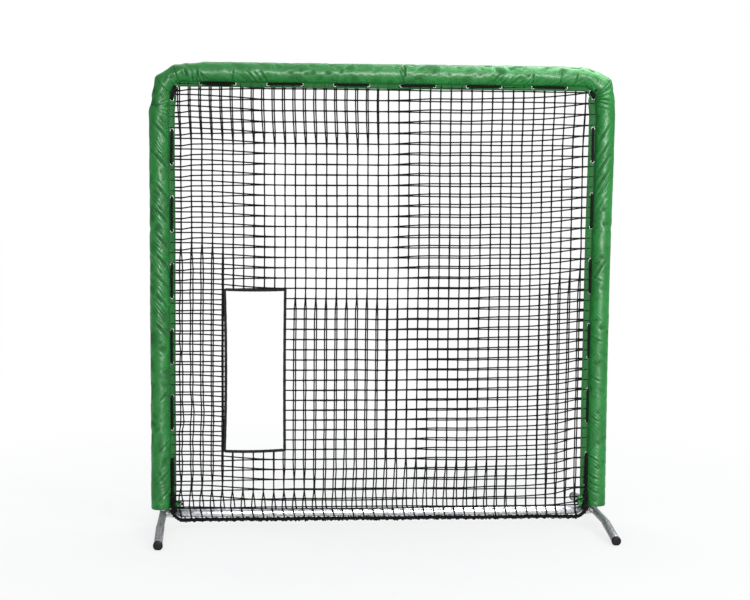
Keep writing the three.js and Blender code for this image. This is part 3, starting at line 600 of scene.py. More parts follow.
# ---- pads ----
def pad_section():
    """Round the cover's outside from the front flap's edge to the rear flap's, then back round the slit
    and the foam's bore. Returns the points (inward, front), and how many of them are the outside."""
    neck = math.radians(21)              # where the round begins, from the inward side
    hem = [(0.0660, 0.0045), (0.0661, 0.0058), (0.0655, 0.0067), (0.0640, 0.0070), (0.0623, 0.0067),
           (0.0610, 0.0058)]
    flap = [(u, FLAP_FACE) for u in np.linspace(0.0592, 0.0415, 7)]
    start = np.array([PAD_RADIUS * math.cos(neck) - PAD_OFFSET, PAD_RADIUS * math.sin(neck)])
    corner = np.array([FLAP_ROOT - 0.0035, FLAP_FACE])
    root = np.array([FLAP_ROOT, FLAP_FACE])
    crease = [tuple((1 - t) ** 2 * root + 2 * t * (1 - t) * corner + t * t * start)
              for t in np.linspace(0.12, 0.88, 4)]
    turn = np.linspace(neck, 2 * math.pi - neck, 80)
    around = [(PAD_RADIUS * math.cos(a) - PAD_OFFSET, PAD_RADIUS * math.sin(a)) for a in turn]
    half = hem + flap + crease
    outside = half + around + [(u, -v) for u, v in reversed(half)]
    mouth = math.asin(SLIT / FOAM_BORE)
    bore = [(FOAM_BORE * math.cos(a), FOAM_BORE * math.sin(a))
            for a in np.linspace(2 * math.pi - mouth, mouth, 16)]
    wall = [(u, -SLIT) for u in (0.0658, 0.0500, 0.0340)]
    return np.array(outside + wall + bore + [(u, -v) for u, v in reversed(wall)]), len(outside)


SECTION, OUTSIDE = pad_section()


def section_normals():
    """Outward unit normals of the outside points, in the plane of the section."""
    way = np.gradient(SECTION[:OUTSIDE], axis=0)
    normal = np.stack([way[:, 1], -way[:, 0]], 1)
    return normal / np.linalg.norm(normal, axis=1)[:, None]


def section_girth():
    """Distance round the outside from the line that faces the thrower, positive away from the net."""
    gaps = np.linalg.norm(np.diff(SECTION[:OUTSIDE], axis=0), axis=1)
    run = np.concatenate([[0], np.cumsum(gaps)])
    facing = np.argmax(SECTION[:OUTSIDE, 1])
    return run - run[facing]


NORMALS = section_normals()
GIRTH = section_girth()
GIRTH_MIDDLE = 0.071                 # the girth at the pad's outermost line
HALF_ROUND = 0.128                   # from there round to where a flap leaves the pad
FROM_MIDDLE = np.abs(GIRTH - GIRTH_MIDDLE)
FLAP_ROOT_GIRTH = GIRTH_MIDDLE - HALF_ROUND - 0.0005   # on the front, beside the grommets
HEM_POINT = 6                        # the section's point that carries a flap's hem stitches
SEAM_POINT = 14                      # and the one at which the stitches of a sewn end begin
SEAM_RINGS = (3, -4)                 # the rings with these stitches, a little in from each end
SETTLING_FRAMES = 20
HIGHEST_RISE = 0.0020                # of a fold left by the settling


class Folds:
    """The folds in one cover, as a height over (distance along, distance round)."""

    def __init__(self, along, seed):
        self.along = along
        self.height = np.zeros((len(along), OUTSIDE))
        self.random = np.random.default_rng(seed)
        self.seed = seed
        wander = cell_noise(along[:, None] / 0.11, GIRTH[None, :] / 0.06, seed)
        fine = cell_noise(along[:, None] / 0.034, GIRTH[None, :] / 0.025, seed + 1)
        self.height += (0.0008 * wander + 0.0003 * fine) * self.on_pad()

    def on_pad(self):
        """1 on the round of the pad, less on its flaps."""
        return 0.35 + 0.65 * ease(FROM_MIDDLE, HALF_ROUND, 0.110)[None, :]

    def crease(self, at, girth, length, tilt, width, depth, bow=0.0):
        """One fold from (at, girth), turned by `tilt` degrees from the pad's run towards its outside: a
        valley with raised lips, fading towards its ends."""
        angle = math.radians(tilt)
        reach = length + 4 * width
        rows = np.abs(self.along - at) < reach
        if not rows.any():
            return
        s = self.along[rows][:, None] - at
        a = GIRTH[None, :] - girth
        run = s * math.cos(angle) + a * math.sin(angle)
        off = -s * math.sin(angle) + a * math.cos(angle) - bow * run * run / max(length, 1e-6)
        fade = ease(run, -0.15 * length, 0.25 * length) * ease(run, 1.1 * length, 0.45 * length)
        side = np.abs(off) / width
        shape = -np.exp(-side ** 2) + 0.55 * np.exp(-((side - 1.7) / 0.8) ** 2)
        self.height[rows] += depth * fade * shape

    def ribs(self, at, span, girth, reach, pitch, slope, depth, bow=0.0):
        """A patch of slanting ribs round (at, girth), strongest in its middle."""
        s = self.along[:, None] - at
        a = GIRTH[None, :] - girth
        stray = cell_noise(self.along[:, None] / 0.05, GIRTH[None, :] / 0.03, self.seed + 9)
        phase = (s + slope * a + bow * a * a) / pitch + 0.45 * stray
        power = 0.55 + 0.45 * cell_noise(self.along[:, None] / 0.028, GIRTH[None, :] / 0.05, self.seed + 5)
        patch = np.exp(-(s / span) ** 2 - (a / reach) ** 2)
        self.height += depth * np.sin(2 * math.pi * phase) * patch * power

    def pinch(self, at, strength=1.0, count=6):
        """Short folds that fan out from a grommet over the pad."""
        for k in range(count):
            tilt = 20 + 140 * (k + 0.5) / count + self.random.uniform(-9, 9)
            self.crease(at + 0.006 * math.cos(math.radians(tilt)), FLAP_ROOT_GIRTH + 0.004,
                        length=self.random.uniform(0.020, 0.052), tilt=tilt,
                        width=self.random.uniform(0.0026, 0.0044),
                        depth=0.0015 * strength * self.random.uniform(0.5, 1.1),
                        bow=self.random.uniform(-0.25, 0.25))

    def groove(self, at, width, depth, low=-0.06, high=0.21):
        """A ring drawn in round the pad."""
        on = ease(GIRTH, low - 0.01, low + 0.01) * ease(GIRTH, high + 0.01, high - 0.01)
        self.height -= depth * np.exp(-((self.along - at) / width) ** 2)[:, None] * on[None, :]

    def tuck_ends(self, low_depth, high_depth, reach=0.005):
        """Rounds the cover in at its sewn ends."""
        low = np.clip(1 - (self.along - self.along[0]) / reach, 0, 1) ** 2
        high = np.clip(1 - (self.along[-1] - self.along) / reach, 0, 1) ** 2
        self.height -= (low_depth * low + high_depth * high)[:, None]


def left_upright_folds(along):
    """Broad folds that wind down from the outside towards the laces, and the other way near the foot."""
    f = Folds(along, 11)
    for at, span, depth in ((1.74, 0.065, 1.2), (1.60, 0.05, 0.8), (1.47, 0.06, 1.1), (1.30, 0.06, 1.0),
                            (1.19, 0.06, 1.3), (1.02, 0.08, 1.1)):
        f.ribs(at, span, 0.008, reach=0.042, pitch=0.0215, slope=-1.25, depth=0.0017 * depth, bow=2.0)
    for at, span, depth in ((0.80, 0.08, 0.5), (0.45, 0.09, 0.5), (0.20, 0.10, 1.0)):
        f.ribs(at, span, 0.008, reach=0.040, pitch=0.0165, slope=1.1, depth=0.0012 * depth, bow=2.0)
    for at, depth in ((1.824, 1.0), (1.689, 1.25), (1.554, 1.0), (1.440, 1.3), (1.327, 1.0), (1.236, 1.3),
                      (1.145, 1.1), (1.054, 1.2), (0.916, 0.9)):
        f.crease(at - 0.045, -0.050, length=0.130, tilt=42, width=0.0078, depth=0.0028 * depth, bow=0.05)
        f.crease(at - 0.010, -0.040, length=0.090, tilt=38, width=0.0050, depth=0.0015 * depth, bow=0.08)
    for at, depth in ((0.594, 0.7), (0.362, 0.7), (0.222, 1.0), (0.135, 0.9)):
        f.crease(at + 0.045, -0.050, length=0.110, tilt=135, width=0.0062, depth=0.0021 * depth, bow=-0.05)
    for at, tilt in ((1.885, 62), (1.905, 74), (1.925, 84), (1.945, 96), (1.962, 106)):
        f.crease(at, -0.048, length=0.075, tilt=tilt, width=0.0046, depth=0.0018, bow=0.1)
    f.groove(1.935, width=0.006, depth=0.0022, low=-0.06, high=0.06)
    return f


def right_upright_folds(along):
    """Ribs and creases at the top that wind down towards the laces, long slack ribs below the middle that
    wind the other way, and a fan of creases under the corner."""
    f = Folds(along, 23)
    for at, span, depth in ((1.60, 0.10, 1.0), (1.22, 0.06, 0.9)):
        f.ribs(at, span, 0.010, reach=0.038, pitch=0.0225, slope=-1.7, depth=0.0016 * depth, bow=2.0)
    for at, span, depth in ((0.95, 0.10, 0.6), (0.72, 0.09, 0.8), (0.50, 0.11, 1.1), (0.30, 0.12, 1.3),
                            (0.15, 0.06, 1.0)):
        f.ribs(at, span, -0.004, reach=0.040, pitch=0.0175, slope=1.0, depth=0.0016 * depth, bow=4.0)
    for at, depth in ((1.850, 0.9), (1.770, 1.0), (1.706, 1.2), (1.640, 1.2), (1.591, 1.0), (1.530, 0.9),
                      (1.220, 1.1)):
        f.crease(at - 0.060, -0.040, length=0.120, tilt=34, width=0.0070, depth=0.0024 * depth, bow=0.05)
    for at, depth in ((1.150, 0.8), (0.870, 0.9), (0.682, 0.9), (0.493, 1.0), (0.303, 1.1), (0.215, 1.3),
                      (0.184, 1.3), (0.150, 1.1)):
        f.crease(at + 0.020, -0.052, length=0.085, tilt=122, width=0.0052, depth=0.0021 * depth, bow=-0.15)
    for at, tilt in ((1.955, 104), (1.975, 100), (1.992, 96), (2.010, 92), (2.026, 86)):
        f.crease(at, -0.050, length=0.090, tilt=tilt, width=0.0052, depth=0.0024, bow=0.1)
    return f


def top_folds(along):
    """Upright creases at the left end, a ring drawn in beside the middle with creases round it, and
    slanting ones that crowd towards the right corner."""
    f = Folds(along, 37)
    for at, tilt, depth in ((-0.905, 80, 1.0), (-0.890, 95, 1.2), (-0.872, 88, 1.4), (-0.856, 76, 1.3),
                            (-0.838, 98, 1.3), (-0.818, 108, 1.2), (-0.800, 118, 0.9), (-0.700, 70, 0.7),
                            (-0.584, 116, 1.3), (-0.560, 112, 1.1), (-0.535, 108, 1.2), (0.088, 98, 1.2),
                            (0.676, 75, 1.0), (0.801, 68, 1.2), (0.870, 64, 1.0)):
        f.crease(at, -0.052, length=0.082, tilt=tilt, width=0.0048, depth=0.0021 * depth, bow=0.25)
    ring = 0.0876
    f.groove(ring, width=0.0045, depth=0.0030, low=-0.02, high=0.10)
    for k, tilt in enumerate((60, 80, 100, 118, -70, -100)):
        f.crease(ring + 0.006 * (k % 3 - 1), 0.010, length=0.030, tilt=tilt, width=0.0030, depth=0.0016)
    f.ribs(0.60, 0.13, -0.012, reach=0.030, pitch=0.026, slope=-0.9, depth=0.0013)
    for k in range(13):
        f.crease(0.50 + 0.036 * k, -0.055, length=0.052 + 0.012 * math.sin(2.1 * k),
                 tilt=62 + 6 * math.sin(1.7 * k), width=0.0040, depth=0.0021, bow=-0.25)
    return f


def grid_mesh(name, points):
    """An open sheet through a grid of points."""
    rows, columns = points.shape[:2]
    index = np.arange(rows * columns).reshape(rows, columns)
    quads = np.stack([index[:-1, :-1], index[:-1, 1:], index[1:, 1:], index[1:, :-1]], -1).reshape(-1, 4)
    mesh = bpy.data.meshes.new(name)
    mesh.from_pydata(points.reshape(-1, 3).tolist(), [], quads.tolist())
    return mesh


def every_other(count):
    """Every second index up to count, and the last."""
    return np.unique(np.append(np.arange(0, count, 2), count - 1))


def draped(plain, rest, held):
    """Where a sheet's points lie once it has settled as cloth, held at some of them and pressed out from
    inside, when its cut is that of `rest`."""
    sheet = link("settling_cover", grid_mesh("settling_cover", plain))
    sheet.shape_key_add(name="sewn")
    sheet.shape_key_add(name="cut").data.foreach_set("co", rest.astype(np.float32).ravel())
    sheet.vertex_groups.new(name="held").add(np.flatnonzero(held).tolist(), 1.0, "REPLACE")
    modifier = sheet.modifiers.new("cloth", "CLOTH")
    cloth = modifier.settings
    cloth.quality = 6
    cloth.mass = 0.25
    cloth.tension_stiffness = cloth.compression_stiffness = 18
    cloth.shear_stiffness = 9
    cloth.bending_stiffness = 1.2
    cloth.air_damping = 3
    cloth.use_pressure = True
    cloth.uniform_pressure_force = 4
    cloth.shrink_min = -0.010
    cloth.vertex_group_mass = "held"
    cloth.rest_shape_key = sheet.data.shape_keys.key_blocks["cut"]
    cloth.effector_weights.gravity = 0
    modifier.point_cache.frame_end = SETTLING_FRAMES
    for number in range(1, SETTLING_FRAMES + 1):
        bpy.context.scene.frame_set(number)
    vertices = sheet.evaluated_get(bpy.context.evaluated_depsgraph_get()).data.vertices
    moved = np.zeros(len(vertices) * 3, np.float32)
    vertices.foreach_get("co", moved)
    bpy.context.scene.frame_set(1)
    bpy.data.objects.remove(sheet)
    return moved.reshape(plain.shape)


def small_folds(rise):
    """What is left of a rise over (ring, point) without its long waves, smoothed and kept small."""
    half = 14
    window = np.exp(-(np.arange(-half, half + 1) / 6.5) ** 2)
    window /= window.sum()
    longer = np.pad(rise, ((half, half), (0, 0)), mode="edge")
    rise = rise - np.apply_along_axis(lambda v: np.convolve(v, window, "valid"), 0, longer)
    wider = np.pad(rise, 1, mode="edge")
    rise = (2 * rise + wider[:-2, 1:-1] + wider[2:, 1:-1] + wider[1:-1, :-2] + wider[1:-1, 2:]) / 6
    return HIGHEST_RISE * np.tanh(rise / HIGHEST_RISE)


def settled(at, inward, flat, along, eyelets, wring):
    """How far the cover stands out from its plain shape once it has settled as cloth: cut a little too
    big, gathered along its laced hems, wrung by `wring` metres at each height, and pressed out from
    inside. One value for each outside point of each ring."""
    rings = len(at)
    rows, columns = every_other(rings), every_other(OUTSIDE)
    here, way = at[rows][:, columns], inward[rows][:, columns]
    plain = here + flat[rows][:, columns, 0:1] * way + flat[rows][:, columns, 1:2] * FRONT
    out = NORMALS[columns, 0, None] * way + NORMALS[columns, 1, None] * FRONT
    run = np.gradient(here, axis=0)
    run /= np.linalg.norm(run, axis=-1)[..., None]
    hem = ease(FROM_MIDDLE[columns], 0.055, HALF_ROUND)
    gather = np.zeros(rings)
    for k, spot in enumerate(sorted(eyelets)):
        pull = -0.006 if k % 2 else 0.006
        gather += pull * np.exp(-((along - spot) / 0.045) ** 2)
    twist = np.sin((GIRTH[columns] - GIRTH_MIDDLE) / 0.135)
    rest = plain + run * (gather[rows][:, None, None] * hem[None, :, None]
                          + wring[rows][:, None, None] * twist[None, :, None])
    held = np.broadcast_to(FROM_MIDDLE[columns] > HALF_ROUND, plain.shape[:2]).copy()
    held[[0, -1]] = True
    moved = draped(plain - 0.0006 * out, rest, held)
    rise = small_folds(((moved - plain) * out).sum(-1))
    wide = np.array([np.interp(np.arange(OUTSIDE), columns, row) for row in rise])
    return np.array([np.interp(np.arange(rings), rows, column) for column in wide.T]).T


def corner_outline(side):
    """Angles round the bend, and how far the cover's outside stands from the bend's centre at each: sewn
    from flat panels, it keeps to straight chords between its corners (outward, up)."""
    if side < 0:
        corners = [(-0.0325, 0.1528), (0.0521, 0.1395), (0.0917, 0.1137), (0.1313, 0.0878),
                   (0.1578, -0.0449)]
    else:
        corners = [(-0.0279, 0.1560), (0.0285, 0.1491), (0.0832, 0.1314), (0.1383, 0.1014),
                   (0.1496, 0.0607), (0.1586, -0.0029)]
    line = evenly([(x, 0, z) for x, z in corners], 0.001)
    return np.arctan2(line[:, 0], line[:, 2]), np.hypot(line[:, 0], line[:, 2])


def places(run, inward):
    """Gives every point of the section the same place and inward way at each ring."""
    shape = (len(run), len(SECTION), 3)
    return np.broadcast_to(run[:, None], shape), np.broadcast_to(inward[:, None], shape)


def straight(start, end, inward):
    """Rings along a straight stretch of tube."""
    count = int(round(np.linalg.norm(np.subtract(end, start)) / RING_STEP))
    return places(np.linspace(start, end, count + 1), np.tile(inward, (count + 1, 1)))


def round_bend(side, start, end):
    """Rings round the top corner. Each end is a seam, given by its angle at the pad's outside and at its
    flaps, measured from the top rail towards the upright."""
    share = np.clip((SECTION[:, 0] + PAD_REACH) / (PAD_REACH + FLAP_ROOT), 0, 1)
    first, last = (seam[0] + (seam[1] - seam[0]) * share for seam in (start, end))
    length = abs(end[0] - start[0]) * (BEND_RADIUS + 0.5 * PAD_RADIUS)
    count = max(3, int(round(length / RING_STEP)))
    angle = first + (last - first) * np.linspace(0, 1, count + 1)[:, None]
    outward = np.stack([side * np.sin(angle), 0 * angle, np.cos(angle)], -1)
    return np.array([side * BEND_X, 0, BEND_Z]) + BEND_RADIUS * outward, -outward


def joined(*runs):
    """Several runs of rings as one, each starting where the last ended."""
    at = np.concatenate([runs[0][0]] + [r[0][1:] for r in runs[1:]])
    inward = np.concatenate([runs[0][1]] + [r[1][1:] for r in runs[1:]])
    return at, inward


def distances(at):
    """How far along the tube each ring lies."""
    line = at[:, np.argmin(SECTION[:OUTSIDE, 0])]
    return np.concatenate([[0], np.cumsum(np.linalg.norm(np.diff(line, axis=0), axis=1))])


def corner_angle(inward, side):
    """Each ring's angle round its corner at the pad's outside: 0 on the top rail, 90 degrees on the post."""
    way = inward[:, np.argmin(SECTION[:OUTSIDE, 0])]
    return np.arctan2(-side * way[:, 0], -way[:, 2])


def flap_reach(angle, upright_reach):
    """The flap's width round a corner, where its edge turns nearly square."""
    across = np.maximum(np.sin(angle), 1e-6) / (BEND_RADIUS - upright_reach)
    over = np.maximum(np.cos(angle), 1e-6) / (BEND_RADIUS - TOP_FLAP_REACH)
    return BEND_RADIUS - (across ** 6 + over ** 6) ** (-1 / 6)


def shaped(rings, bulge, reach, lean):
    """The section at each ring: its outer half stretched, its flaps cut to reach, and all but the bore
    pushed outward by lean."""
    flat = np.repeat(SECTION[None], rings, 0)
    u = flat[..., 0]
    flap = FLAP_ROOT + (u - FLAP_ROOT) * ((reach - FLAP_ROOT) / (FLAP_REACH - FLAP_ROOT))[:, None]
    u = np.where(u > FLAP_ROOT, flap, u)
    outer = np.arange(len(SECTION)) < OUTSIDE
    u = np.where((u < 0) & outer, u * bulge[:, None], u)
    flat[..., 0] = np.where(outer | (SECTION[:, 0] > FLAP_ROOT), u - lean[:, None], u)
    return flat


def fold_shade(height):
    """The `fold` attribute, which the vinyl paints as highlight above 0 and as shade below 0: above 0 on
    raised folds, below 0 in creases, on the flaps and at their roots.
    """
    # painted shade: deepest along each flap's root, lighter over the whole flap
    root = np.exp(-((FROM_MIDDLE - HALF_ROUND - 0.0005) / 0.0055) ** 2)
    flap = ease(FROM_MIDDLE, HALF_ROUND - 0.001, HALF_ROUND + 0.003)
    return np.clip(height / 0.0024 - 0.6 * flap, -1, 1) * (1 - root) - 0.9 * root


def cover_mesh(name, at, inward, height, bulge, reach, lean):
    """A padded cover with its foam: the section carried along the rings, with folds of `height`. Returns
    the mesh and the place of each point of each ring."""
    rings, points = len(at), len(SECTION)
    flat = shaped(rings, bulge, reach, lean)
    flat[:, :OUTSIDE] += height[..., None] * NORMALS[None]
    place = (at + flat[..., 0:1] * inward + flat[..., 1:2] * FRONT[None, None]).reshape(-1, 3)
    quads = hoop_faces(rings, points)
    ring = list(range(points))
    ends = [ring[::-1], [k + (rings - 1) * points for k in ring]]
    mesh = bpy.data.meshes.new(name)
    mesh.from_pydata(place.tolist(), [], quads + ends)
    run = distances(at)
    girth = np.concatenate([GIRTH, np.linspace(GIRTH[-1], GIRTH[-1] + 0.1, points - OUTSIDE)])
    # the vinyl's painted highlight and painted shade, from the folds' height and the flaps
    fold = np.zeros((rings, points))
    fold[:, :OUTSIDE] = fold_shade(height)
    mesh.attributes.new("fold", "FLOAT", "POINT").data.foreach_set("value", fold.ravel().astype(np.float32))
    layer = mesh.uv_layers.new(name="length_and_girth")
    corners = np.zeros(len(mesh.loops), np.int32)
    mesh.loops.foreach_get("vertex_index", corners)
    uv = np.stack([run[corners // points], girth[corners % points]], 1)
    layer.data.foreach_set("uv", uv.ravel().astype(np.float32))
    column = np.arange(len(quads)) % points
    foam = (column >= OUTSIDE + 2) & (column < points - 3)
    mesh.polygons.foreach_set("material_index", np.append(foam, [True, True]).astype(np.int32))
    facing_out(mesh, sharp=70, triangles=True)
    return mesh, place.reshape(rings, points, 3)


def corner_spot(side, angle):
    """The place (x, z) of a corner grommet, at an angle from the top rail."""
    reach = BEND_RADIUS - GROMMET_OFFSET
    return side * (BEND_X + reach * math.sin(angle)), BEND_Z + reach * math.cos(angle)


def side_eyelets(side):
    """The heights of an upright's grommets."""
    return [LOWEST_GROMMET_Z[side] + i * GROMMET_PITCH for i in range(GROMMETS)]


def top_eyelets():
    """The places of the top's grommets from left to right."""
    return [(i - (GROMMETS - 1) / 2) * GROMMET_PITCH for i in range(GROMMETS)]


def side_holes(side):
    return [(side * (UPRIGHT_X - GROMMET_OFFSET), z) for z in side_eyelets(side)]


def top_holes():
    return [(x, TOP_Z - GROMMET_OFFSET) for x in top_eyelets()]


def grommet_marks():
    """Each grommet's place (x, z)."""
    marks = top_holes()
    for _, side in SIDES:
        marks += side_holes(side)
        marks += [corner_spot(side, angle) for angle in CORNER_TIES[side]]
    return marks


def hem_lines(place):
    """Lines of stitches along both flaps' edges."""
    return [place[4:-4, point] for point in (HEM_POINT, OUTSIDE - 1 - HEM_POINT)]


def seam_lines(place):
    """Lines of stitches round the pad, a little in from its sewn ends."""
    return [place[ring, SEAM_POINT:OUTSIDE - SEAM_POINT] for ring in SEAM_RINGS]


def upright_set(side, z):
    """How far the laces draw a post's cover aside at each height, and how wide its flap is."""
    heights = [0.08, 0.45, 0.63, 1.0, 1.38, 1.75, 1.94, 2.0]
    if side < 0:
        lean = [0.0, 0.0, 0.001, 0.0026, 0.0025, 0.0042, 0.0055, 0.0020]
        reach = [0.061, 0.060, 0.0595, 0.0615, 0.062, 0.061, 0.063, 0.064]
    else:
        lean = [-0.002, -0.0038, -0.0045, -0.0040, -0.0025, 0.0040, 0.0055, 0.0020]
        reach = [0.066, 0.066, 0.066, 0.065, 0.065, 0.066, 0.066, 0.066]
    return np.interp(z, heights, lean), np.interp(z, heights, reach)


def sewn_cover(name, at, face, along, folds, cut, eyelets, wring, *stood_for):
    """Makes one padded cover from its rings, its folds and its cut (bulge, reach, lean), and returns the
    place of each of its points."""
    height = folds.height + settled(at, face, shaped(len(at), *cut), along, eyelets, wring)
    mesh, place = cover_mesh(name, at, face, height, *cut)
    pad = link(name, mesh, VINYL, FOAM)
    keep(pad, "vinyl", *stood_for)
    return place


def upright_pad(name, side):
    """An upright's cover, from the foot to the seam under its corner."""
    inward = np.array([-side, 0, 0.0])
    post = straight((side * UPRIGHT_X, 0, PAD_FOOT_Z), (side * UPRIGHT_X, 0, BEND_Z), inward)
    seam = [angle + SEAM_GAP for angle in SIDE_SEAM[side]]
    at, face = joined(post, round_bend(side, (math.pi / 2, math.pi / 2), seam))
    along = PAD_FOOT_Z + distances(at)
    folds = left_upright_folds(along) if side < 0 else right_upright_folds(along)
    for spot in side_eyelets(side):
        folds.pinch(spot, 0.8)
    folds.tuck_ends(0.0015, 0.0024)
    angle = corner_angle(face, side)
    turn, far = corner_outline(side)
    lean, reach = upright_set(side, np.minimum(along, BEND_Z))
    outside = np.interp(angle, turn, far) - BEND_RADIUS
    blend = ease(along, 1.90, BEND_Z)
    bulge = 1 + blend * (outside / PAD_REACH - 1)
    reach = np.where(along > BEND_Z, flap_reach(angle, reach), reach)
    waves = np.sin(along / 0.16 + side) + 0.8 * cell_noise(along / 0.21, along * 0, 81 + side)
    place = sewn_cover(f"{name}_upright_pad", at, face, along, folds, (bulge, reach, lean * (1 - blend)),
                       side_eyelets(side), -side * 0.010 * waves,
                       f"{name}_upright_cover", f"{name}_upright_foam")
    return hem_lines(place) + seam_lines(place)


def left_corner_pad():
    """The gore sewn between the left upright's cover and the top's."""
    at, face = round_bend(-1, [a - SEAM_GAP for a in SIDE_SEAM[-1]], [a + SEAM_GAP for a in TOP_SEAM])
    along = distances(at)
    folds = Folds(along, 53)
    folds.height *= 0.6
    for k, tilt in enumerate((95, 80, 70, 110)):
        folds.crease(0.02 + 0.014 * k, FLAP_ROOT_GIRTH, length=0.045, tilt=tilt, width=0.004,
                     depth=0.0012, bow=0.2)
    folds.tuck_ends(0.0024, 0.0024)
    angle = corner_angle(face, -1)
    turn, far = corner_outline(-1)
    bulge = (np.interp(angle, turn, far) - BEND_RADIUS) / PAD_REACH
    cut = bulge, flap_reach(angle, CORNER_FLAP_REACH), np.zeros(len(at))
    place = sewn_cover("left_corner_pad", at, face, along, folds, cut, [0.05], 0 * along,
                       "left_corner_cover", "left_corner_foam")
    return seam_lines(place)


def top_pad():
    """The top's cover, which runs on round the right corner without a seam."""
    down = np.array([0, 0, -1.0])
    at, face = joined(round_bend(-1, [a - SEAM_GAP for a in TOP_SEAM], (0, 0)),
                      straight((-BEND_X, 0, TOP_Z), (BEND_X, 0, TOP_Z), down),
                      round_bend(1, (0, 0), [a - SEAM_GAP for a in SIDE_SEAM[1]]))
    along = distances(at)
    x = at[:, 0, 0]
    along -= along[np.argmin(np.abs(x))]
    folds = top_folds(along)
    for spot in top_eyelets():
        folds.pinch(spot, 0.8)
    for k, tilt in enumerate((50, 66, 82, 98, 112, 126)):
        folds.crease(BEND_X + 0.075 + 0.004 * k, FLAP_ROOT_GIRTH, length=0.075, tilt=tilt, width=0.0055,
                     depth=0.0024, bow=0.3)
    folds.tuck_ends(0.0024, 0.0024)
    bulge, reach = np.ones(len(at)), np.full(len(at), TOP_FLAP_REACH)
    for _, side in SIDES:
        angle = corner_angle(face, side)
        turn, far = corner_outline(side)
        near = ease(side * x, BEND_X - 0.11, BEND_X)
        outside = np.interp(np.maximum(angle, 0), turn, far) - BEND_RADIUS
        bulge += near * (outside / PAD_REACH - 1)
        reach = np.where(side * x > BEND_X, flap_reach(angle, CORNER_FLAP_REACH), reach)
    wring = 0.009 * (np.sin(along / 0.19) + 0.8 * cell_noise(along / 0.23, along * 0, 85))
    place = sewn_cover("top_pad", at, face, along, folds, (bulge, reach, np.zeros(len(at))),
                       top_eyelets(), wring,
                       "top_cover", "top_foam", "right_corner_cover", "right_corner_foam")
    return hem_lines(place) + seam_lines(place)


def make_covers():
    """All four covers, and the thread of their hems and seams."""
    lines = left_corner_pad() + top_pad()
    for name, side in SIDES:
        lines += upright_pad(name, side)
    sewn = grow("cover_stitching", STITCH_TREE, paths_mesh("cover_stitching", [{"points": p} for p in lines]),
                Pitch=0.0055, Length=0.0038, Thick=0.0006, Material=THREAD)
    keep(sewn, "cord")


make_covers()


def make_grommets():
    """Two rolled rings to each hole, one on each flap."""
    points = [(x, y, z) for x, z in grommet_marks() for y in (-FLAP_FACE, FLAP_FACE)]
    mesh = bpy.data.meshes.new("grommets")
    mesh.from_pydata(points, [], [])
    facing = np.array([(0, math.copysign(1, y), 0) for _, y, _ in points], np.float32)
    mesh.attributes.new("facing", "FLOAT_VECTOR", "POINT").data.foreach_set("vector", facing.ravel())
    rings = grow("grommets", RING_TREE, mesh, Hole=0.0058, Roll=0.0016, Material=NICKEL)
    keep(rings, "zinc")


make_grommets()


# ---- laces ----
def unit(vector):
    return vector / np.linalg.norm(vector)


def stitch_route(holes):
    """A running stitch through holes (x, z): in front between the first two, behind between the next."""
    dive = 0.004                         # how far a lace turns in before it goes through
    spots = [np.array([x, 0.0, z]) for x, z in holes]
    route = []
    for i, spot in enumerate(spots):
        before = unit(spot - spots[i - 1] if i else spots[0] - spots[1])
        after = unit(spots[i + 1] - spot) if i + 1 < len(spots) else before
        sign = -1 if i % 2 else 1
        near, far = np.array([0, sign * LACE_FACE, 0]), np.array([0, -sign * LACE_FACE, 0])
        lead = LACE_TURN if i else -LACE_TURN
        if i == 0:
            route.append(spot + (LACE_TURN + LACE_TAIL) * before + near)
        route.append(spot - lead * before + near)
        route.append(spot + near * (1 - dive / LACE_FACE))
        route.append(spot + far * (1 - dive / LACE_FACE))
        route.append(spot + LACE_TURN * after + far)
        if i + 1 == len(spots):
            route.append(spot + (LACE_TURN + LACE_TAIL) * after + far)
    return np.array(route)


def lace(name, holes, seed, wrapped):
    """A laced cord with a knot at both ends, wrapped round itself between pairs of places."""
    line = evenly(rounded(stitch_route(holes), 3), 0.006)
    sway = cell_noise(np.arange(len(line)) / 9.0, np.zeros(len(line)), seed)
    away = np.array([0, 0, 1.0]) if abs(line[-1][0] - line[0][0]) > 1 else np.array([1.0, 0, 0])
    line = line + 0.0010 * sway[:, None] * away
    paths = [{"points": line}]
    for start, end in wrapped:
        turns = laid(evenly([start, end], 0.0022), radius=0.0068, strands=1, pitch=0.0115, step=0.0022)
        paths += [swollen(turn, 0.72) for turn in turns]
    for end in (line[0], line[-1]):
        paths.append(swollen(overhand(end, 0.0062, 0.7 + seed), 0.62))
    return cords(name, paths, LACE_RADIUS)


def corner_tie(side):
    """Two closed turns of cord through both grommets of a corner."""
    a, b = (np.array([x, 0, z]) for x, z in (corner_spot(side, angle) for angle in CORNER_TIES[side]))
    way = unit(b - a)
    loop = []
    for y, ends in ((-LACE_FACE, (a, b)), (LACE_FACE, (b, a))):
        lift = np.array([0, y, 0])
        sign = 1 if y < 0 else -1
        loop += [ends[0] + 0.35 * lift, ends[0] + sign * 0.005 * way + lift,
                 ends[1] - sign * 0.005 * way + lift, ends[1] + 0.35 * lift]
    first = rounded(loop, 2, closed=True)
    second = first + np.array([0.0045 * side, -0.003, 0.002]) * np.sign(-first[:, 1:2])
    return [{"points": turn, "closed": True} for turn in (first, second)]


def make_laces():
    """The three long laces and the two corner ties. The top's left end and the foot of each side are
    wrapped with what was left of the cord."""
    front = -LACE_FACE - 0.001
    z = TOP_Z - GROMMET_OFFSET - 0.0015
    bundle = [((-0.815, front, z), (-0.700, front, z - 0.001))]
    keep(lace("top_laced_cord", top_holes(), 3, bundle), "cord", "top_lace")
    for name, side in SIDES:
        x = side * (UPRIGHT_X - GROMMET_OFFSET)
        low = [((x, front, 0.318), (x - side * 0.002, front, 0.182))]
        keep(lace(f"{name}_laced_cord", side_holes(side)[::-1], 5 + side, low), "cord", f"{name}_lace")
        keep(cords(f"{name}_corner_tie", corner_tie(side), LACE_RADIUS * 0.85),
             "cord", f"{name}_corner_lace")


make_laces()


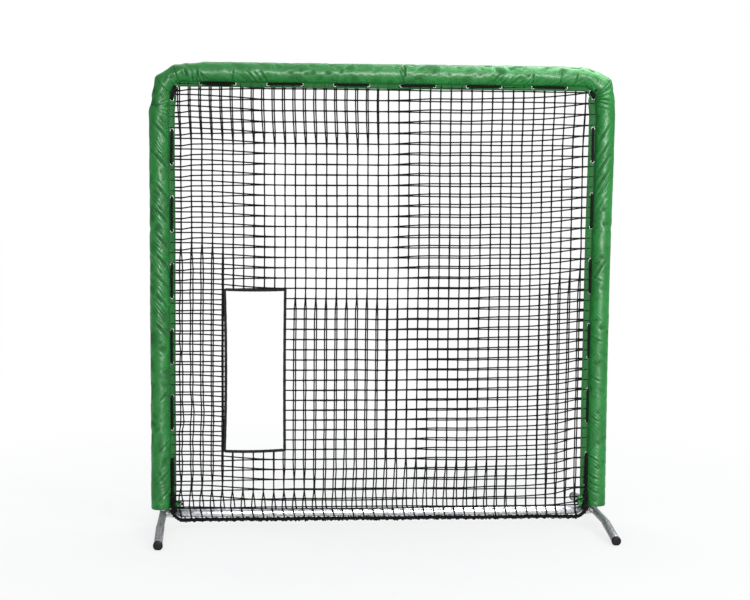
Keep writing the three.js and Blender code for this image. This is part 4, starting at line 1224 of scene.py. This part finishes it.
# ---- net ----
def net_stand_off(z):
    """How far a layer's middle stands off the frame's middle plane at height z."""
    return np.interp(z, [ROPE_Z, 0.052, 0.095, 0.215], [0.0070, 0.0225, 0.0205, 0.0022])


def net_aside(x, z, layer):
    """How far a knot is drawn sideways: the net's head is stretched out to both corners, and the two
    layers have slid apart there, beside the opening and along the foot."""
    u = np.clip((x - NET_FIRST_X) / (MESH * (NET_COLUMNS - 1)), 0, 1)
    middle = within(u, 0.28, 0.42, 0.70, 0.92)
    head = -0.0093 * (1 - ease(u, 0.36, 0.62)) + 0.0098 * np.clip((u - 0.6) / 0.4, 0, 1) ** 1.2
    foot = 0.0175 - 0.0080 * middle
    both = (head * ease(z, 1.745, 1.97)                                   # out to the upper corners
            + 0.0016 * within(z, 0.9, 1.2, 1.42, 1.62)                    # a little right at mid height
            - 0.0050 * middle * ease(z, 0.30, 0.12)                       # left along the foot's middle
            - 0.0052 * ease(u, 0.90, 1.0) * ease(z, 1.25, 1.0)            # in from the right edge
            + 0.0052 * ease(u, 0.13, 0.0) * within(z, 0.44, 0.49, 0.55, 0.62))   # slack at the left edge
    part = (0.0088 * ease(u, 0.53, 0.45) * ease(z, 1.73, 1.86)            # at the head's left half
            + 0.0105 * ease(u, 0.16, 0.05) * within(z, 0.17, 0.26, 1.20, 1.34)   # left of the opening
            + 0.0086 * within(u, 0.20, 0.28, 0.45, 0.62) * within(z, 0.17, 0.30, 1.0, 1.10)   # right of it
            + 0.0100 * ease(u, 0.86, 0.95) * ease(z, 1.22, 1.05)          # at the right edge
            + 0.0140 * middle * ease(z, 0.34, 0.16)                       # along the foot
            + foot * ease(u, 1.0, 0.7) * ease(z, 0.160, 0.085))           # and round the bottom rail
    return both + np.where(layer == 0, -0.5, 0.5) * part


def net_drift(x, z, layer):
    """Where a knot really hangs, as a step aside and one up or down. The two layers were strung apart. One
    falls away from both upper ends and the other runs nearly level, so their rows fan out from the left
    edge, meet a third of the way over, part again, and at the right edge meet once more a mesh on."""
    left = 1 - ease(x, -0.90, -0.46)
    rise = 0.14 * ease(x, 0.35, 0.60) + 0.62 * np.clip((x - 0.56) / 0.37, 0, 1.05) ** 2
    falling = ((0.0185 + 0.0085 * ease(z, 1.45, 1.0)) * left
               + MESH * 0.235 * ease(x, -0.03, 0.23) * (1 - 0.55 * ease(z, 1.28, 1.05))
               + MESH * rise * (1 - 0.28 * ease(z, 0.62, 0.30) * ease(x, 0.9, 0.8)))
    level = (-0.0065 * left - 0.0080 * ease(x, -0.87, -0.935) * ease(z, 0.9, 1.3)
             - 0.0060 * ease(x, 0.10, 0.30) * ease(z, 0.62, 0.35))
    sag = 0.0100 * ease(z, 2.03, 1.80) * ease(z, 0.22, 0.72)
    dz = (np.where(layer == 0, falling, level) - sag + 0.0065 * ease(x, 0.84, 0.93) * ease(z, 0.95, 0.7)
          + 0.0016 * cell_noise(x / 0.13 + 7 * layer, z / 0.19, 71))
    slack = 0.0009 + 0.0028 * ease(x, -0.80, -0.93) * ease(z, 1.3, 1.0)   # most at the lower left edge
    sway = (0.0008 * cell_noise(x / 0.42 + 11 * layer, z / 0.36, 72)
            + slack * cell_noise(x / 0.03, z / 0.05, 73 + layer)
            + 0.0105 * ease(z, 0.088, 0.036))                             # the slant down to the rope
    return net_aside(x, z, layer) + sway, dz


RIM_RADIUS = BEND_RADIUS - NET_TUCK     # of the curve in which the strands end under a corner


def rim_height(x):
    """The height at which a strand runs in under the top pad at x."""
    beyond = np.clip(np.abs(x) - BEND_X, 0, RIM_RADIUS)
    return BEND_Z + np.sqrt(RIM_RADIUS ** 2 - beyond ** 2)


def rim_line():
    """The cord along a layer's edge (x, z), up one side, over the top and down the other."""
    rim = [(-UPRIGHT_X + NET_TUCK, z) for z in np.linspace(0.14, BEND_Z, 60)]
    rim += [(-BEND_X - RIM_RADIUS * math.cos(a), BEND_Z + RIM_RADIUS * math.sin(a))
            for a in np.linspace(0, math.pi / 2, 14)]
    return rim + [(-x, z) for x, z in reversed(rim)]


def knotted(values):
    """Marks a run's positions as knots, and adds a point on each side of a knot, so that twine narrows
    off its knots."""
    made = []
    for a, b in zip(values[:-1], values[1:]):
        made += [(a, True), (a + 0.14 * (b - a), False), (a + 0.86 * (b - a), False)]
    return made + [(values[-1], True)]


def cut_in(values, edges):
    """Adds the two edges of the opening to a run of positions."""
    return sorted(values + [(edge, False) for edge in edges], key=lambda v: v[0])


def net_layer(name, layer):
    """One layer: each strand swells at its knots, ends under the flaps or at the binding, and runs on
    past the bottom rail to the rope."""
    sign = -1 if layer == 0 else 1
    left, right, bottom, top = TARGET
    edges_x = (left + TARGET_INSET, right - TARGET_INSET)
    edges_z = (bottom + TARGET_INSET, top - TARGET_INSET)
    columns = NET_FIRST_X + MESH * np.arange(NET_COLUMNS)
    rows = np.append(NET_FIRST_Z - MESH * np.arange(NET_ROWS), NET_FOOT_ROW_Z)
    row_lift = 0.0009                    # the rows lie outside the columns
    paths = []

    def put(x, z, lift):
        """A point's place as the net hangs. Ends cut at the opening stay on its edge."""
        dx, dz = net_drift(x, z, layer)
        if x in edges_x:
            dx = 0.0
        elif z in edges_z:
            dz = 0.0
        hung = z + dz * ease(z, 0.055, 0.10)
        return (float(x + dx), float(sign * (net_stand_off(hung) + lift)), float(hung))

    def strand(steps, lift=0.0):
        """Splits a run of (x, z, knot) at the opening and adds its paths."""
        run = []
        for x, z, knot in steps + [(None, None, False)]:
            if x is None or (edges_x[0] < x < edges_x[1] and edges_z[0] < z < edges_z[1]):
                if len(run) > 1:
                    paths.append({"points": [put(x, z, lift) for x, z, _ in run],
                                  "swell": [1.35 if k else 1.0 for _, _, k in run]})
                run = []
            else:
                run.append((x, z, knot))

    for x in columns:
        roof = float(rim_height(x))
        line = knotted([z for z in rows if z < roof - 0.006])
        if left < x < right:
            line = cut_in(line, edges_z)[::-1]
        foot = [(x, 0.052, False), (x, 0.036, False), (x, 0.0265, True)]
        strand([(x, roof, False)] + [(x, z, k) for z, k in line] + foot)
    for z in rows:
        beyond = max(0.0, z - BEND_Z)
        if beyond > RIM_RADIUS:
            continue
        edge = BEND_X + math.sqrt(RIM_RADIUS ** 2 - beyond ** 2)
        line = knotted([x for x in columns if abs(x) < edge - 0.006])
        if bottom < z < top:
            line = cut_in(line, edges_x)
        strand([(-edge, z, False)] + [(x, z, k) for x, k in line] + [(edge, z, False)], row_lift)
    paths.append(swollen({"points": [(x, sign * 0.0022, z) for x, z in rim_line()]}, 1.1))

    mesh = paths_mesh(name, paths)
    tied = np.array([s for p in paths for s in p["swell"]]) > 1.3
    mesh.attributes.new("knot", "BOOLEAN", "POINT").data.foreach_set("value", tied)
    return grow(name, NET_TREE, mesh, Radius=TWINE_RADIUS, Knot=0.0052, Seed=7 + layer, Material=TWINE)


keep(net_layer("front_net", 0), "twine", "net_front")
keep(net_layer("back_net", 1), "twine", "net_back")


# ---- target binding ----
def binding_route():
    """The binding's middle line: pulled a little out of square, as the net hangs."""
    left, right, bottom, top = TARGET
    half = BINDING_WIDTH / 2
    left, right, bottom, top = left + half, right - half, bottom + half, top - half

    def sag(t, depth):
        return depth * 4 * t * (1 - t)

    t = np.linspace(0, 1, 40, endpoint=False)
    low = [(left + (right - left) * k, bottom - sag(k, 0.004) + 0.004 * k) for k in t]
    far = [(right - sag(k, 0.002), bottom + 0.004 + (top - bottom - 0.002) * k) for k in t]
    high = [(right - (right - left) * k, top + 0.002 - sag(k, 0.003)) for k in t]
    near = [(left + sag(k, 0.006), top + (bottom - top) * k) for k in t]
    return np.array([(x, 0, z) for x, z in low + far + high + near])


def make_binding():
    """Webbing folded over both layers: a soft flat section round the opening."""
    line = binding_route()
    way = np.roll(line, -1, 0) - np.roll(line, 1, 0)
    way /= np.linalg.norm(way, axis=1)[:, None]
    aside = np.cross(way, FRONT)
    section = [(u * BINDING_WIDTH / 2, v * BINDING_HALF_THICKNESS) for u, v in (
        (-1, -0.55), (-0.86, -0.95), (-0.4, -1), (0, -0.9), (0.4, -1), (0.86, -0.95), (1, -0.55),
        (1, 0.55), (0.86, 0.95), (0.4, 1), (0, 0.9), (-0.4, 1), (-0.86, 0.95), (-1, 0.55))]
    ripple = 1 + 0.05 * np.sin(np.arange(len(line)) * 1.9)
    points = np.array([[line[i] + aside[i] * u * ripple[i] + FRONT * v for u, v in section]
                       for i in range(len(line))])
    mesh = bpy.data.meshes.new("opening_binding")
    mesh.from_pydata(points.reshape(-1, 3).tolist(), [], hoop_faces(len(line), len(section), closed=True))
    facing_out(mesh)
    keep(link("opening_binding", mesh, WEBBING), "webbing", "target_binding")
    rows = [{"points": line + aside * offset + np.array([0, y, 0]), "closed": True}
            for offset in (-0.0042, 0.0042) for y in (-0.0049, 0.0049)]
    sewn = grow("binding_stitching", STITCH_TREE, paths_mesh("binding_stitching", rows),
                Pitch=0.0045, Length=0.0032, Thick=0.0005, Material=THREAD)
    keep(sewn, "cord")


make_binding()


# ---- bottom rope ----
def rope_route():
    """The rope's line: out of one corner tab, down round the rail's end, along under the rail and up."""
    end = [(0.975, -0.0330, 0.084), (0.969, -0.0345, 0.070), (0.955, -0.0335, 0.052),
           (0.938, -0.0240, 0.035), (0.921, -0.0060, ROPE_Z)]
    run = [(-x, y, z) for x, y, z in end] + [(-0.905, 0, ROPE_Z), (0.905, 0, ROPE_Z)] + end[::-1]
    return rounded(run, 2)


def make_rope():
    """Three-strand rope, lashed to the net's foot with two spirals of twine and with knots at each mesh."""
    step = 0.004
    line = evenly(rope_route(), step)
    line[:, 2] += 0.0015 * cell_noise(line[:, 0] / 0.09, line[:, 1], 81) - 0.0025
    strands = laid(line, radius=0.0040, strands=3, pitch=0.040, step=step)
    keep(cords("bottom_laid_rope", strands, 0.0046, 6), "cord", "bottom_rope")
    lashed = line[np.abs(line[:, 0]) < 0.925]
    twine = laid(lashed, radius=0.0088, strands=1, pitch=MESH / 2.0, step=step)
    twine += laid(lashed + np.array([0, 0, -0.001]), radius=0.0096, strands=1, pitch=-MESH / 1.27, step=step)
    draw = np.random.default_rng(17)
    for x in NET_FIRST_X + MESH * np.arange(NET_COLUMNS):
        for _ in range(2):
            spot = (x + draw.uniform(-0.012, 0.012), draw.uniform(-0.006, 0.004),
                    ROPE_Z - draw.uniform(0.004, 0.011))
            twine.append(swollen(overhand(spot, draw.uniform(0.0035, 0.0052), draw.uniform(0, 6)), 1.1))
    keep(cords("rope_lashing", twine, 0.0021, 5, TWINE), "cord")


make_rope()


# ---- lower corners ----
def crumpled_tab(name, side):
    """The pad's lower flap corner, folded over and bunched up in its tie."""
    low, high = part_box(f"{name}_cover_tab")
    centre, half = (low + high) / 2, (high - low) / 2
    size = 1.0 if side > 0 else 0.72     # the left one is bunched tighter
    work = bmesh.new()
    bmesh.ops.create_icosphere(work, subdivisions=5, radius=1.0)
    for v in work.verts:
        p = np.array(v.co)
        fold = 0.16 * math.sin(9 * p[0] + 5 * p[2] + 2 * side) + 0.10 * math.sin(17 * p[2] - 7 * p[0])
        rough = float(cell_noise(np.array(p[0] * 3.1 + 9), np.array(p[2] * 3.7 + 5), 91 + side))
        pull = 1 + fold * 0.5 + 0.22 * rough
        v.co = Vector((p[0] * half.x * pull * size, p[1] * half.y * (1 + 0.6 * fold + 0.3 * rough),
                       p[2] * half.z * pull * size * 1.05)) + centre
    mesh = bpy.data.meshes.new(name + "_tab")
    work.to_mesh(mesh)
    work.free()
    level = np.zeros(len(mesh.vertices), np.float32)
    mesh.attributes.new("fold", "FLOAT", "POINT").data.foreach_set("value", level)
    mesh.uv_layers.new(name="length_and_girth")
    mesh.shade_smooth()
    tab = keep(link(f"{name}_bunched_tab", mesh, VINYL), "vinyl", f"{name}_cover_tab")


def corner_bundle(name, side):
    """The lace's end, the net's corner and the rope's end tied together beside the tab."""
    x = side * (UPRIGHT_X - GROMMET_OFFSET)
    core = rounded([(x, -0.012, 0.172), (x - side * 0.004, -0.018, 0.140),
                    (x - side * 0.006, -0.024, 0.108), (x - side * 0.008, -0.028, 0.085),
                    (x - side * 0.014, -0.029, 0.070)], 2)
    paths = laid(core, radius=0.0050, strands=2, pitch=0.040, step=0.003)
    paths += laid(core[6:], radius=0.0105, strands=1, pitch=0.0095, step=0.0022)
    end = core[-1]
    tail = [end, end + [side * 0.006, -0.003, -0.010], end + [side * 0.010, -0.004, -0.026]]
    paths.append({"points": rounded(tail, 2)})
    over = rounded([(x + side * 0.010, -0.014, 0.120), (x - side * 0.020, -0.036, 0.118),
                    (x - side * 0.044, -0.030, 0.110), (x - side * 0.050, -0.012, 0.100),
                    (x - side * 0.030, 0.0, 0.092)], 3)
    paths.append({"points": over})
    paths.append(overhand(core[-4], 0.0095, 1.1 * side))
    keep(cords(f"{name}_foot_tie", paths, 0.0036), "cord")


for name, side in SIDES:
    crumpled_tab(name, side)
    corner_bundle(name, side)


# ---- tube frame ----
def pipe(name, line, outer, bore, sides=40, material=DULL_STEEL):
    """A round tube along a line, with eased ends and its bore."""
    line = np.asarray(line, float)
    first, second = frames_along(line)
    ease_in = 0.0006
    count, last = len(line), len(line) - 1
    angle = np.linspace(0, 2 * math.pi, sides, endpoint=False)

    def ring(i, radius, shift=0.0):
        way = unit(line[min(i + 1, last)] - line[max(i - 1, 0)])
        return (line[i] + way * shift)[None] + radius * (
            np.cos(angle)[:, None] * first[i][None] + np.sin(angle)[:, None] * second[i][None])

    rings = [ring(0, bore + ease_in), ring(0, outer - ease_in), ring(0, outer, ease_in)]
    rings += [ring(i, outer) for i in range(1, last)]
    rings += [ring(last, outer, -ease_in), ring(last, outer - ease_in), ring(last, bore + ease_in)]
    rings += [ring(last, bore, -ease_in)] + [ring(i, bore) for i in range(count - 2, 0, -1)]
    rings += [ring(0, bore, ease_in)]
    mesh = bpy.data.meshes.new(name)
    mesh.from_pydata(np.vstack(rings).tolist(), [], hoop_faces(len(rings), sides, closed=True))
    facing_out(mesh, sharp=50)
    return link(name, mesh, material)


def merged(target, *others):
    """Joins tubes into one welded piece."""
    for other in others:
        union = target.modifiers.new("weld", "BOOLEAN")
        union.operation = "UNION"
        union.solver = "EXACT"
        union.object = other
        ready = target.evaluated_get(bpy.context.evaluated_depsgraph_get())
        result = bpy.data.meshes.new_from_object(ready)
        target.modifiers.clear()
        target.data = result
        bpy.data.objects.remove(other)
    target.data.set_sharp_from_angle(angle=math.radians(40))
    return target


def base_line(side):
    """The base tube's line, bent down at both ends."""
    tangent = FOOT_BEND_RADIUS * math.tan(FOOT_SLOPE / 2)
    half = []
    for angle in np.linspace(0, FOOT_SLOPE, 9):
        half.append((FOOT_BEND_Y + FOOT_BEND_RADIUS * math.sin(angle) - tangent,
                     RAIL_Z - FOOT_BEND_RADIUS * (1 - math.cos(angle))))
    reach = tangent + FOOT_SPIGOT
    half.append((FOOT_BEND_Y + reach * math.cos(FOOT_SLOPE), RAIL_Z - reach * math.sin(FOOT_SLOPE)))
    points = [(-y, z) for y, z in reversed(half)] + [(0, RAIL_Z)] + half
    return [(side * UPRIGHT_X, y, z) for y, z in points]


def make_base(name, side):
    """A base tube with the two spigots welded to it, one up into the post and one into the rail."""
    x = side * UPRIGHT_X
    spigot_bore = SPIGOT_RADIUS - INNER_TUBE_WALL
    tube = pipe(f"{name}_base_tube", base_line(side), INNER_TUBE_RADIUS, INNER_TUBE_RADIUS - INNER_TUBE_WALL)
    post = pipe("post", [(x, 0, RAIL_Z + 0.012), (x, 0, RAIL_Z + 0.04), (x, 0, 0.134)],
                SPIGOT_RADIUS, spigot_bore)
    stub = pipe("stub", [(x - side * 0.012, 0, RAIL_Z), (x - side * 0.04, 0, RAIL_Z),
                         (x - side * 0.098, 0, RAIL_Z)], SPIGOT_RADIUS, spigot_bore)
    keep(merged(tube, post, stub), "galvanised_dark", f"{name}_base")


def make_foot(name, side, end, way):
    """One slip-on leg with its rubber tip, in line with the base's sloping end."""
    low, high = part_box(f"{end}_{name}_foot_tube")
    slope = np.array([0, way * math.cos(FOOT_SLOPE), -math.sin(FOOT_SLOPE)])
    start = np.array([side * UPRIGHT_X, way * FOOT_BEND_Y, RAIL_Z])
    nearest = min(abs(low.y), abs(high.y)) + TUBE_RADIUS * math.sin(FOOT_SLOPE)
    farthest = max(abs(low.y), abs(high.y)) - TUBE_RADIUS * math.sin(FOOT_SLOPE)
    line = [start + slope * (y - FOOT_BEND_Y) / math.cos(FOOT_SLOPE)
            for y in np.linspace(nearest, farthest, 7)]
    leg = pipe(f"{end}_{name}_leg", line, TUBE_RADIUS, LEG_BORE)
    keep(leg, "galvanised_dark", f"{end}_{name}_foot_tube", body=f"{end}_{name}_foot")
    rubber_tip(name, end, line[-1], slope)


def rubber_tip(name, end, mouth, slope):
    """A moulded tip: a ringed sleeve with a domed foot, worn flat where it stands. Its profile is given
    as (radius, height) from the leg's mouth."""
    profile = [(0.0, 0.0053), (0.006, 0.0053), (0.012, 0.0050), (0.0172, 0.0042), (0.0200, 0.0026),
               (0.0212, 0.0004), (0.0215, -0.0024), (0.0213, -0.0044), (0.0207, -0.0051), (0.0212, -0.0058),
               (0.0212, -0.0100), (0.0206, -0.0115), (0.0196, -0.0119), (0.0194, -0.0110), (0.0194, 0.0003),
               (0.0, 0.0003)]
    sides = 44
    across = np.array([1.0, 0, 0])
    angle = np.linspace(0, 2 * math.pi, sides, endpoint=False)[:, None]
    round_about = np.cos(angle) * across + np.sin(angle) * np.cross(slope, across)
    rings = [mouth + slope * height + radius * round_about for radius, height in profile[1:-1]]
    ends = [(mouth + slope * profile[k][1])[None] for k in (0, -1)]
    points = np.vstack(rings + ends)
    points[:, 2] = np.maximum(points[:, 2], 0.0)
    foot, floor = len(rings) * sides, len(rings) * sides + 1
    last = (len(rings) - 1) * sides
    faces = hoop_faces(len(rings), sides)
    faces += [(foot, (k + 1) % sides, k) for k in range(sides)]
    faces += [(floor, last + k, last + (k + 1) % sides) for k in range(sides)]
    mesh = bpy.data.meshes.new(f"{end}_{name}_tip")
    mesh.from_pydata(points.tolist(), [], faces)
    facing_out(mesh, sharp=55)
    keep(link(f"{end}_{name}_tip", mesh, RUBBER), "foot_rubber", f"{end}_{name}_foot_cap",
         body=f"{end}_{name}_foot")


def make_tubes():
    """Both bases, the four feet and the bottom rail."""
    for name, side in SIDES:
        make_base(name, side)
        for end, way in ENDS:
            make_foot(name, side, end, way)
    rail_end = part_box("bottom_rail")[1].x
    rail = pipe("bottom_tube", [(k * rail_end, 0, RAIL_Z) for k in np.linspace(-1, 1, 9)],
                TUBE_RADIUS, TUBE_RADIUS - TUBE_WALL, sides=48, material=STEEL)
    keep(rail, "galvanised", "bottom_rail")


make_tubes()


# ---- carried-over tube and screws ----
def dress(node, finish):
    """Gives a CAD node that stays in view its finish."""
    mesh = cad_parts[node].data
    mesh.materials.clear()
    mesh.materials.append(finish)


for name, _ in SIDES:
    for node in (f"{name}_upright", f"{name}_elbow", f"{name}_top_rail"):
        dress(node, STEEL)
    for joint in ("base", "elbow", "top", "coupler", "rail"):
        dress(f"{name}_{joint}_screw", ZINC)
dress("top_coupler", DULL_STEEL)


# ---- floor and light ----
def shown_rays(nodes, links):
    """1 for what the camera sees straight, in metal or through a gap, 0 for light that falls on things."""
    path = nodes.new("ShaderNodeLightPath")
    total = path.outputs["Is Camera Ray"]
    for ray in ("Is Glossy Ray", "Is Transmission Ray"):
        both = nodes.new("ShaderNodeMath")
        both.operation = "MAXIMUM"
        links.new(total, both.inputs[0])
        links.new(path.outputs[ray], both.inputs[1])
        total = both.outputs[0]
    return total


def pale_floor():
    """A pale sweep of floor that keeps the net's shadow and fades to white away from it."""
    work = bmesh.new()
    bmesh.ops.create_grid(work, x_segments=2, y_segments=2, size=30)
    mesh = bpy.data.meshes.new("floor")
    work.to_mesh(mesh)
    work.free()
    m = Finish("pale_floor", (0.84, 0.84, 0.84), 0.9)
    m.set("Specular IOR Level", 0.1)
    nodes, links = m.tree.nodes, m.tree.links
    away = m.node("ShaderNodeVectorMath", {0: m.place}, operation="LENGTH").outputs["Value"]
    grain = m.spread(m.noise(3.0, detail=6.0), 0.3, 0.7, -0.012, 0.012)
    fade = m.maths("ADD", m.spread(away, 1.1, 3.2, 0.74, 1.0), grain)
    white = m.node("ShaderNodeEmission", {"Color": (1, 1, 1, 1), "Strength": 1.0})
    share = m.maths("MULTIPLY", fade, shown_rays(nodes, links))
    mixer = m.node("ShaderNodeMixShader", {0: share, 1: m.shader.outputs[0], 2: white.outputs[0]})
    links.new(mixer.outputs[0], nodes["Material Output"].inputs["Surface"])
    floor = link("floor", mesh, m.made)
    floor.location.z = -0.0006


def area_light(name, at, target, size, power, shape, lit=True, shine=True):
    """A panel lamp of `size` times `shape`, which may leave out its light (lit) or its glint (shine)."""
    data = bpy.data.lights.new(name, "AREA")
    data.shape = "RECTANGLE"
    data.size, data.size_y = size * shape[0], size * shape[1]
    data.energy = power
    lamp = bpy.data.objects.new(name, data)
    lamp.location = at
    lamp.rotation_euler = (Vector(target) - Vector(at)).to_track_quat("-Z", "Y").to_euler()
    lamp.visible_diffuse, lamp.visible_glossy = lit, shine
    bpy.context.scene.collection.objects.link(lamp)


def overcast():
    """An even sky, brightest overhead, that the camera sees as white."""
    world = bpy.data.worlds.new("overcast")
    bpy.context.scene.world = world
    world.use_nodes = True
    nodes, links = world.node_tree.nodes, world.node_tree.links
    way = nodes.new("ShaderNodeTexCoord").outputs["Generated"]
    height = nodes.new("ShaderNodeSeparateXYZ")
    links.new(way, height.inputs[0])
    level = nodes.new("ShaderNodeMapRange")
    links.new(height.outputs["Z"], level.inputs["Value"])
    for label, value in (("From Min", -0.05), ("From Max", 0.8), ("To Min", 0.18), ("To Max", 1.0)):
        level.inputs[label].default_value = value
    sky = nodes["Background"]
    sky.inputs["Color"].default_value = (0.86, 0.90, 0.93, 1)
    links.new(level.outputs[0], sky.inputs["Strength"])
    seen = nodes.new("ShaderNodeBackground")
    seen.inputs["Color"].default_value = (1, 1, 1, 1)
    seen.inputs["Strength"].default_value = 1.0
    path = nodes.new("ShaderNodeLightPath")
    mixer = nodes.new("ShaderNodeMixShader")
    links.new(path.outputs["Is Camera Ray"], mixer.inputs[0])
    links.new(sky.outputs[0], mixer.inputs[1])
    links.new(seen.outputs[0], mixer.inputs[2])
    links.new(mixer.outputs[0], nodes["World Output"].inputs[0])


def studio():
    """An overcast sky, a broad soft panel above and behind, and a tall one in front on the right. Two
    more panels only show as broad glints, down the pads' fronts and along the top's right end."""
    pale_floor()
    overcast()
    area_light("above_behind", (0.6, 2.2, 5.2), (0, 0, 1.6), 4.0, 85, (1.5, 0.8))
    area_light("front_right", (3.0, -4.4, 2.9), (0, 0, 1.1), 1.8, 85, (0.8, 1.3), shine=False)
    area_light("beside_camera", (1.2, -8.3, 2.5), (0, 0, 1.2), 2.4, 1150, (1.4, 1.0), lit=False)
    area_light("above_right", (2.45, -0.6, 4.6), (2.45, -0.61, 0), 3.3, 520, (1.0, 1.6), lit=False)


studio()
bpy.context.scene.view_settings.view_transform = "Standard"
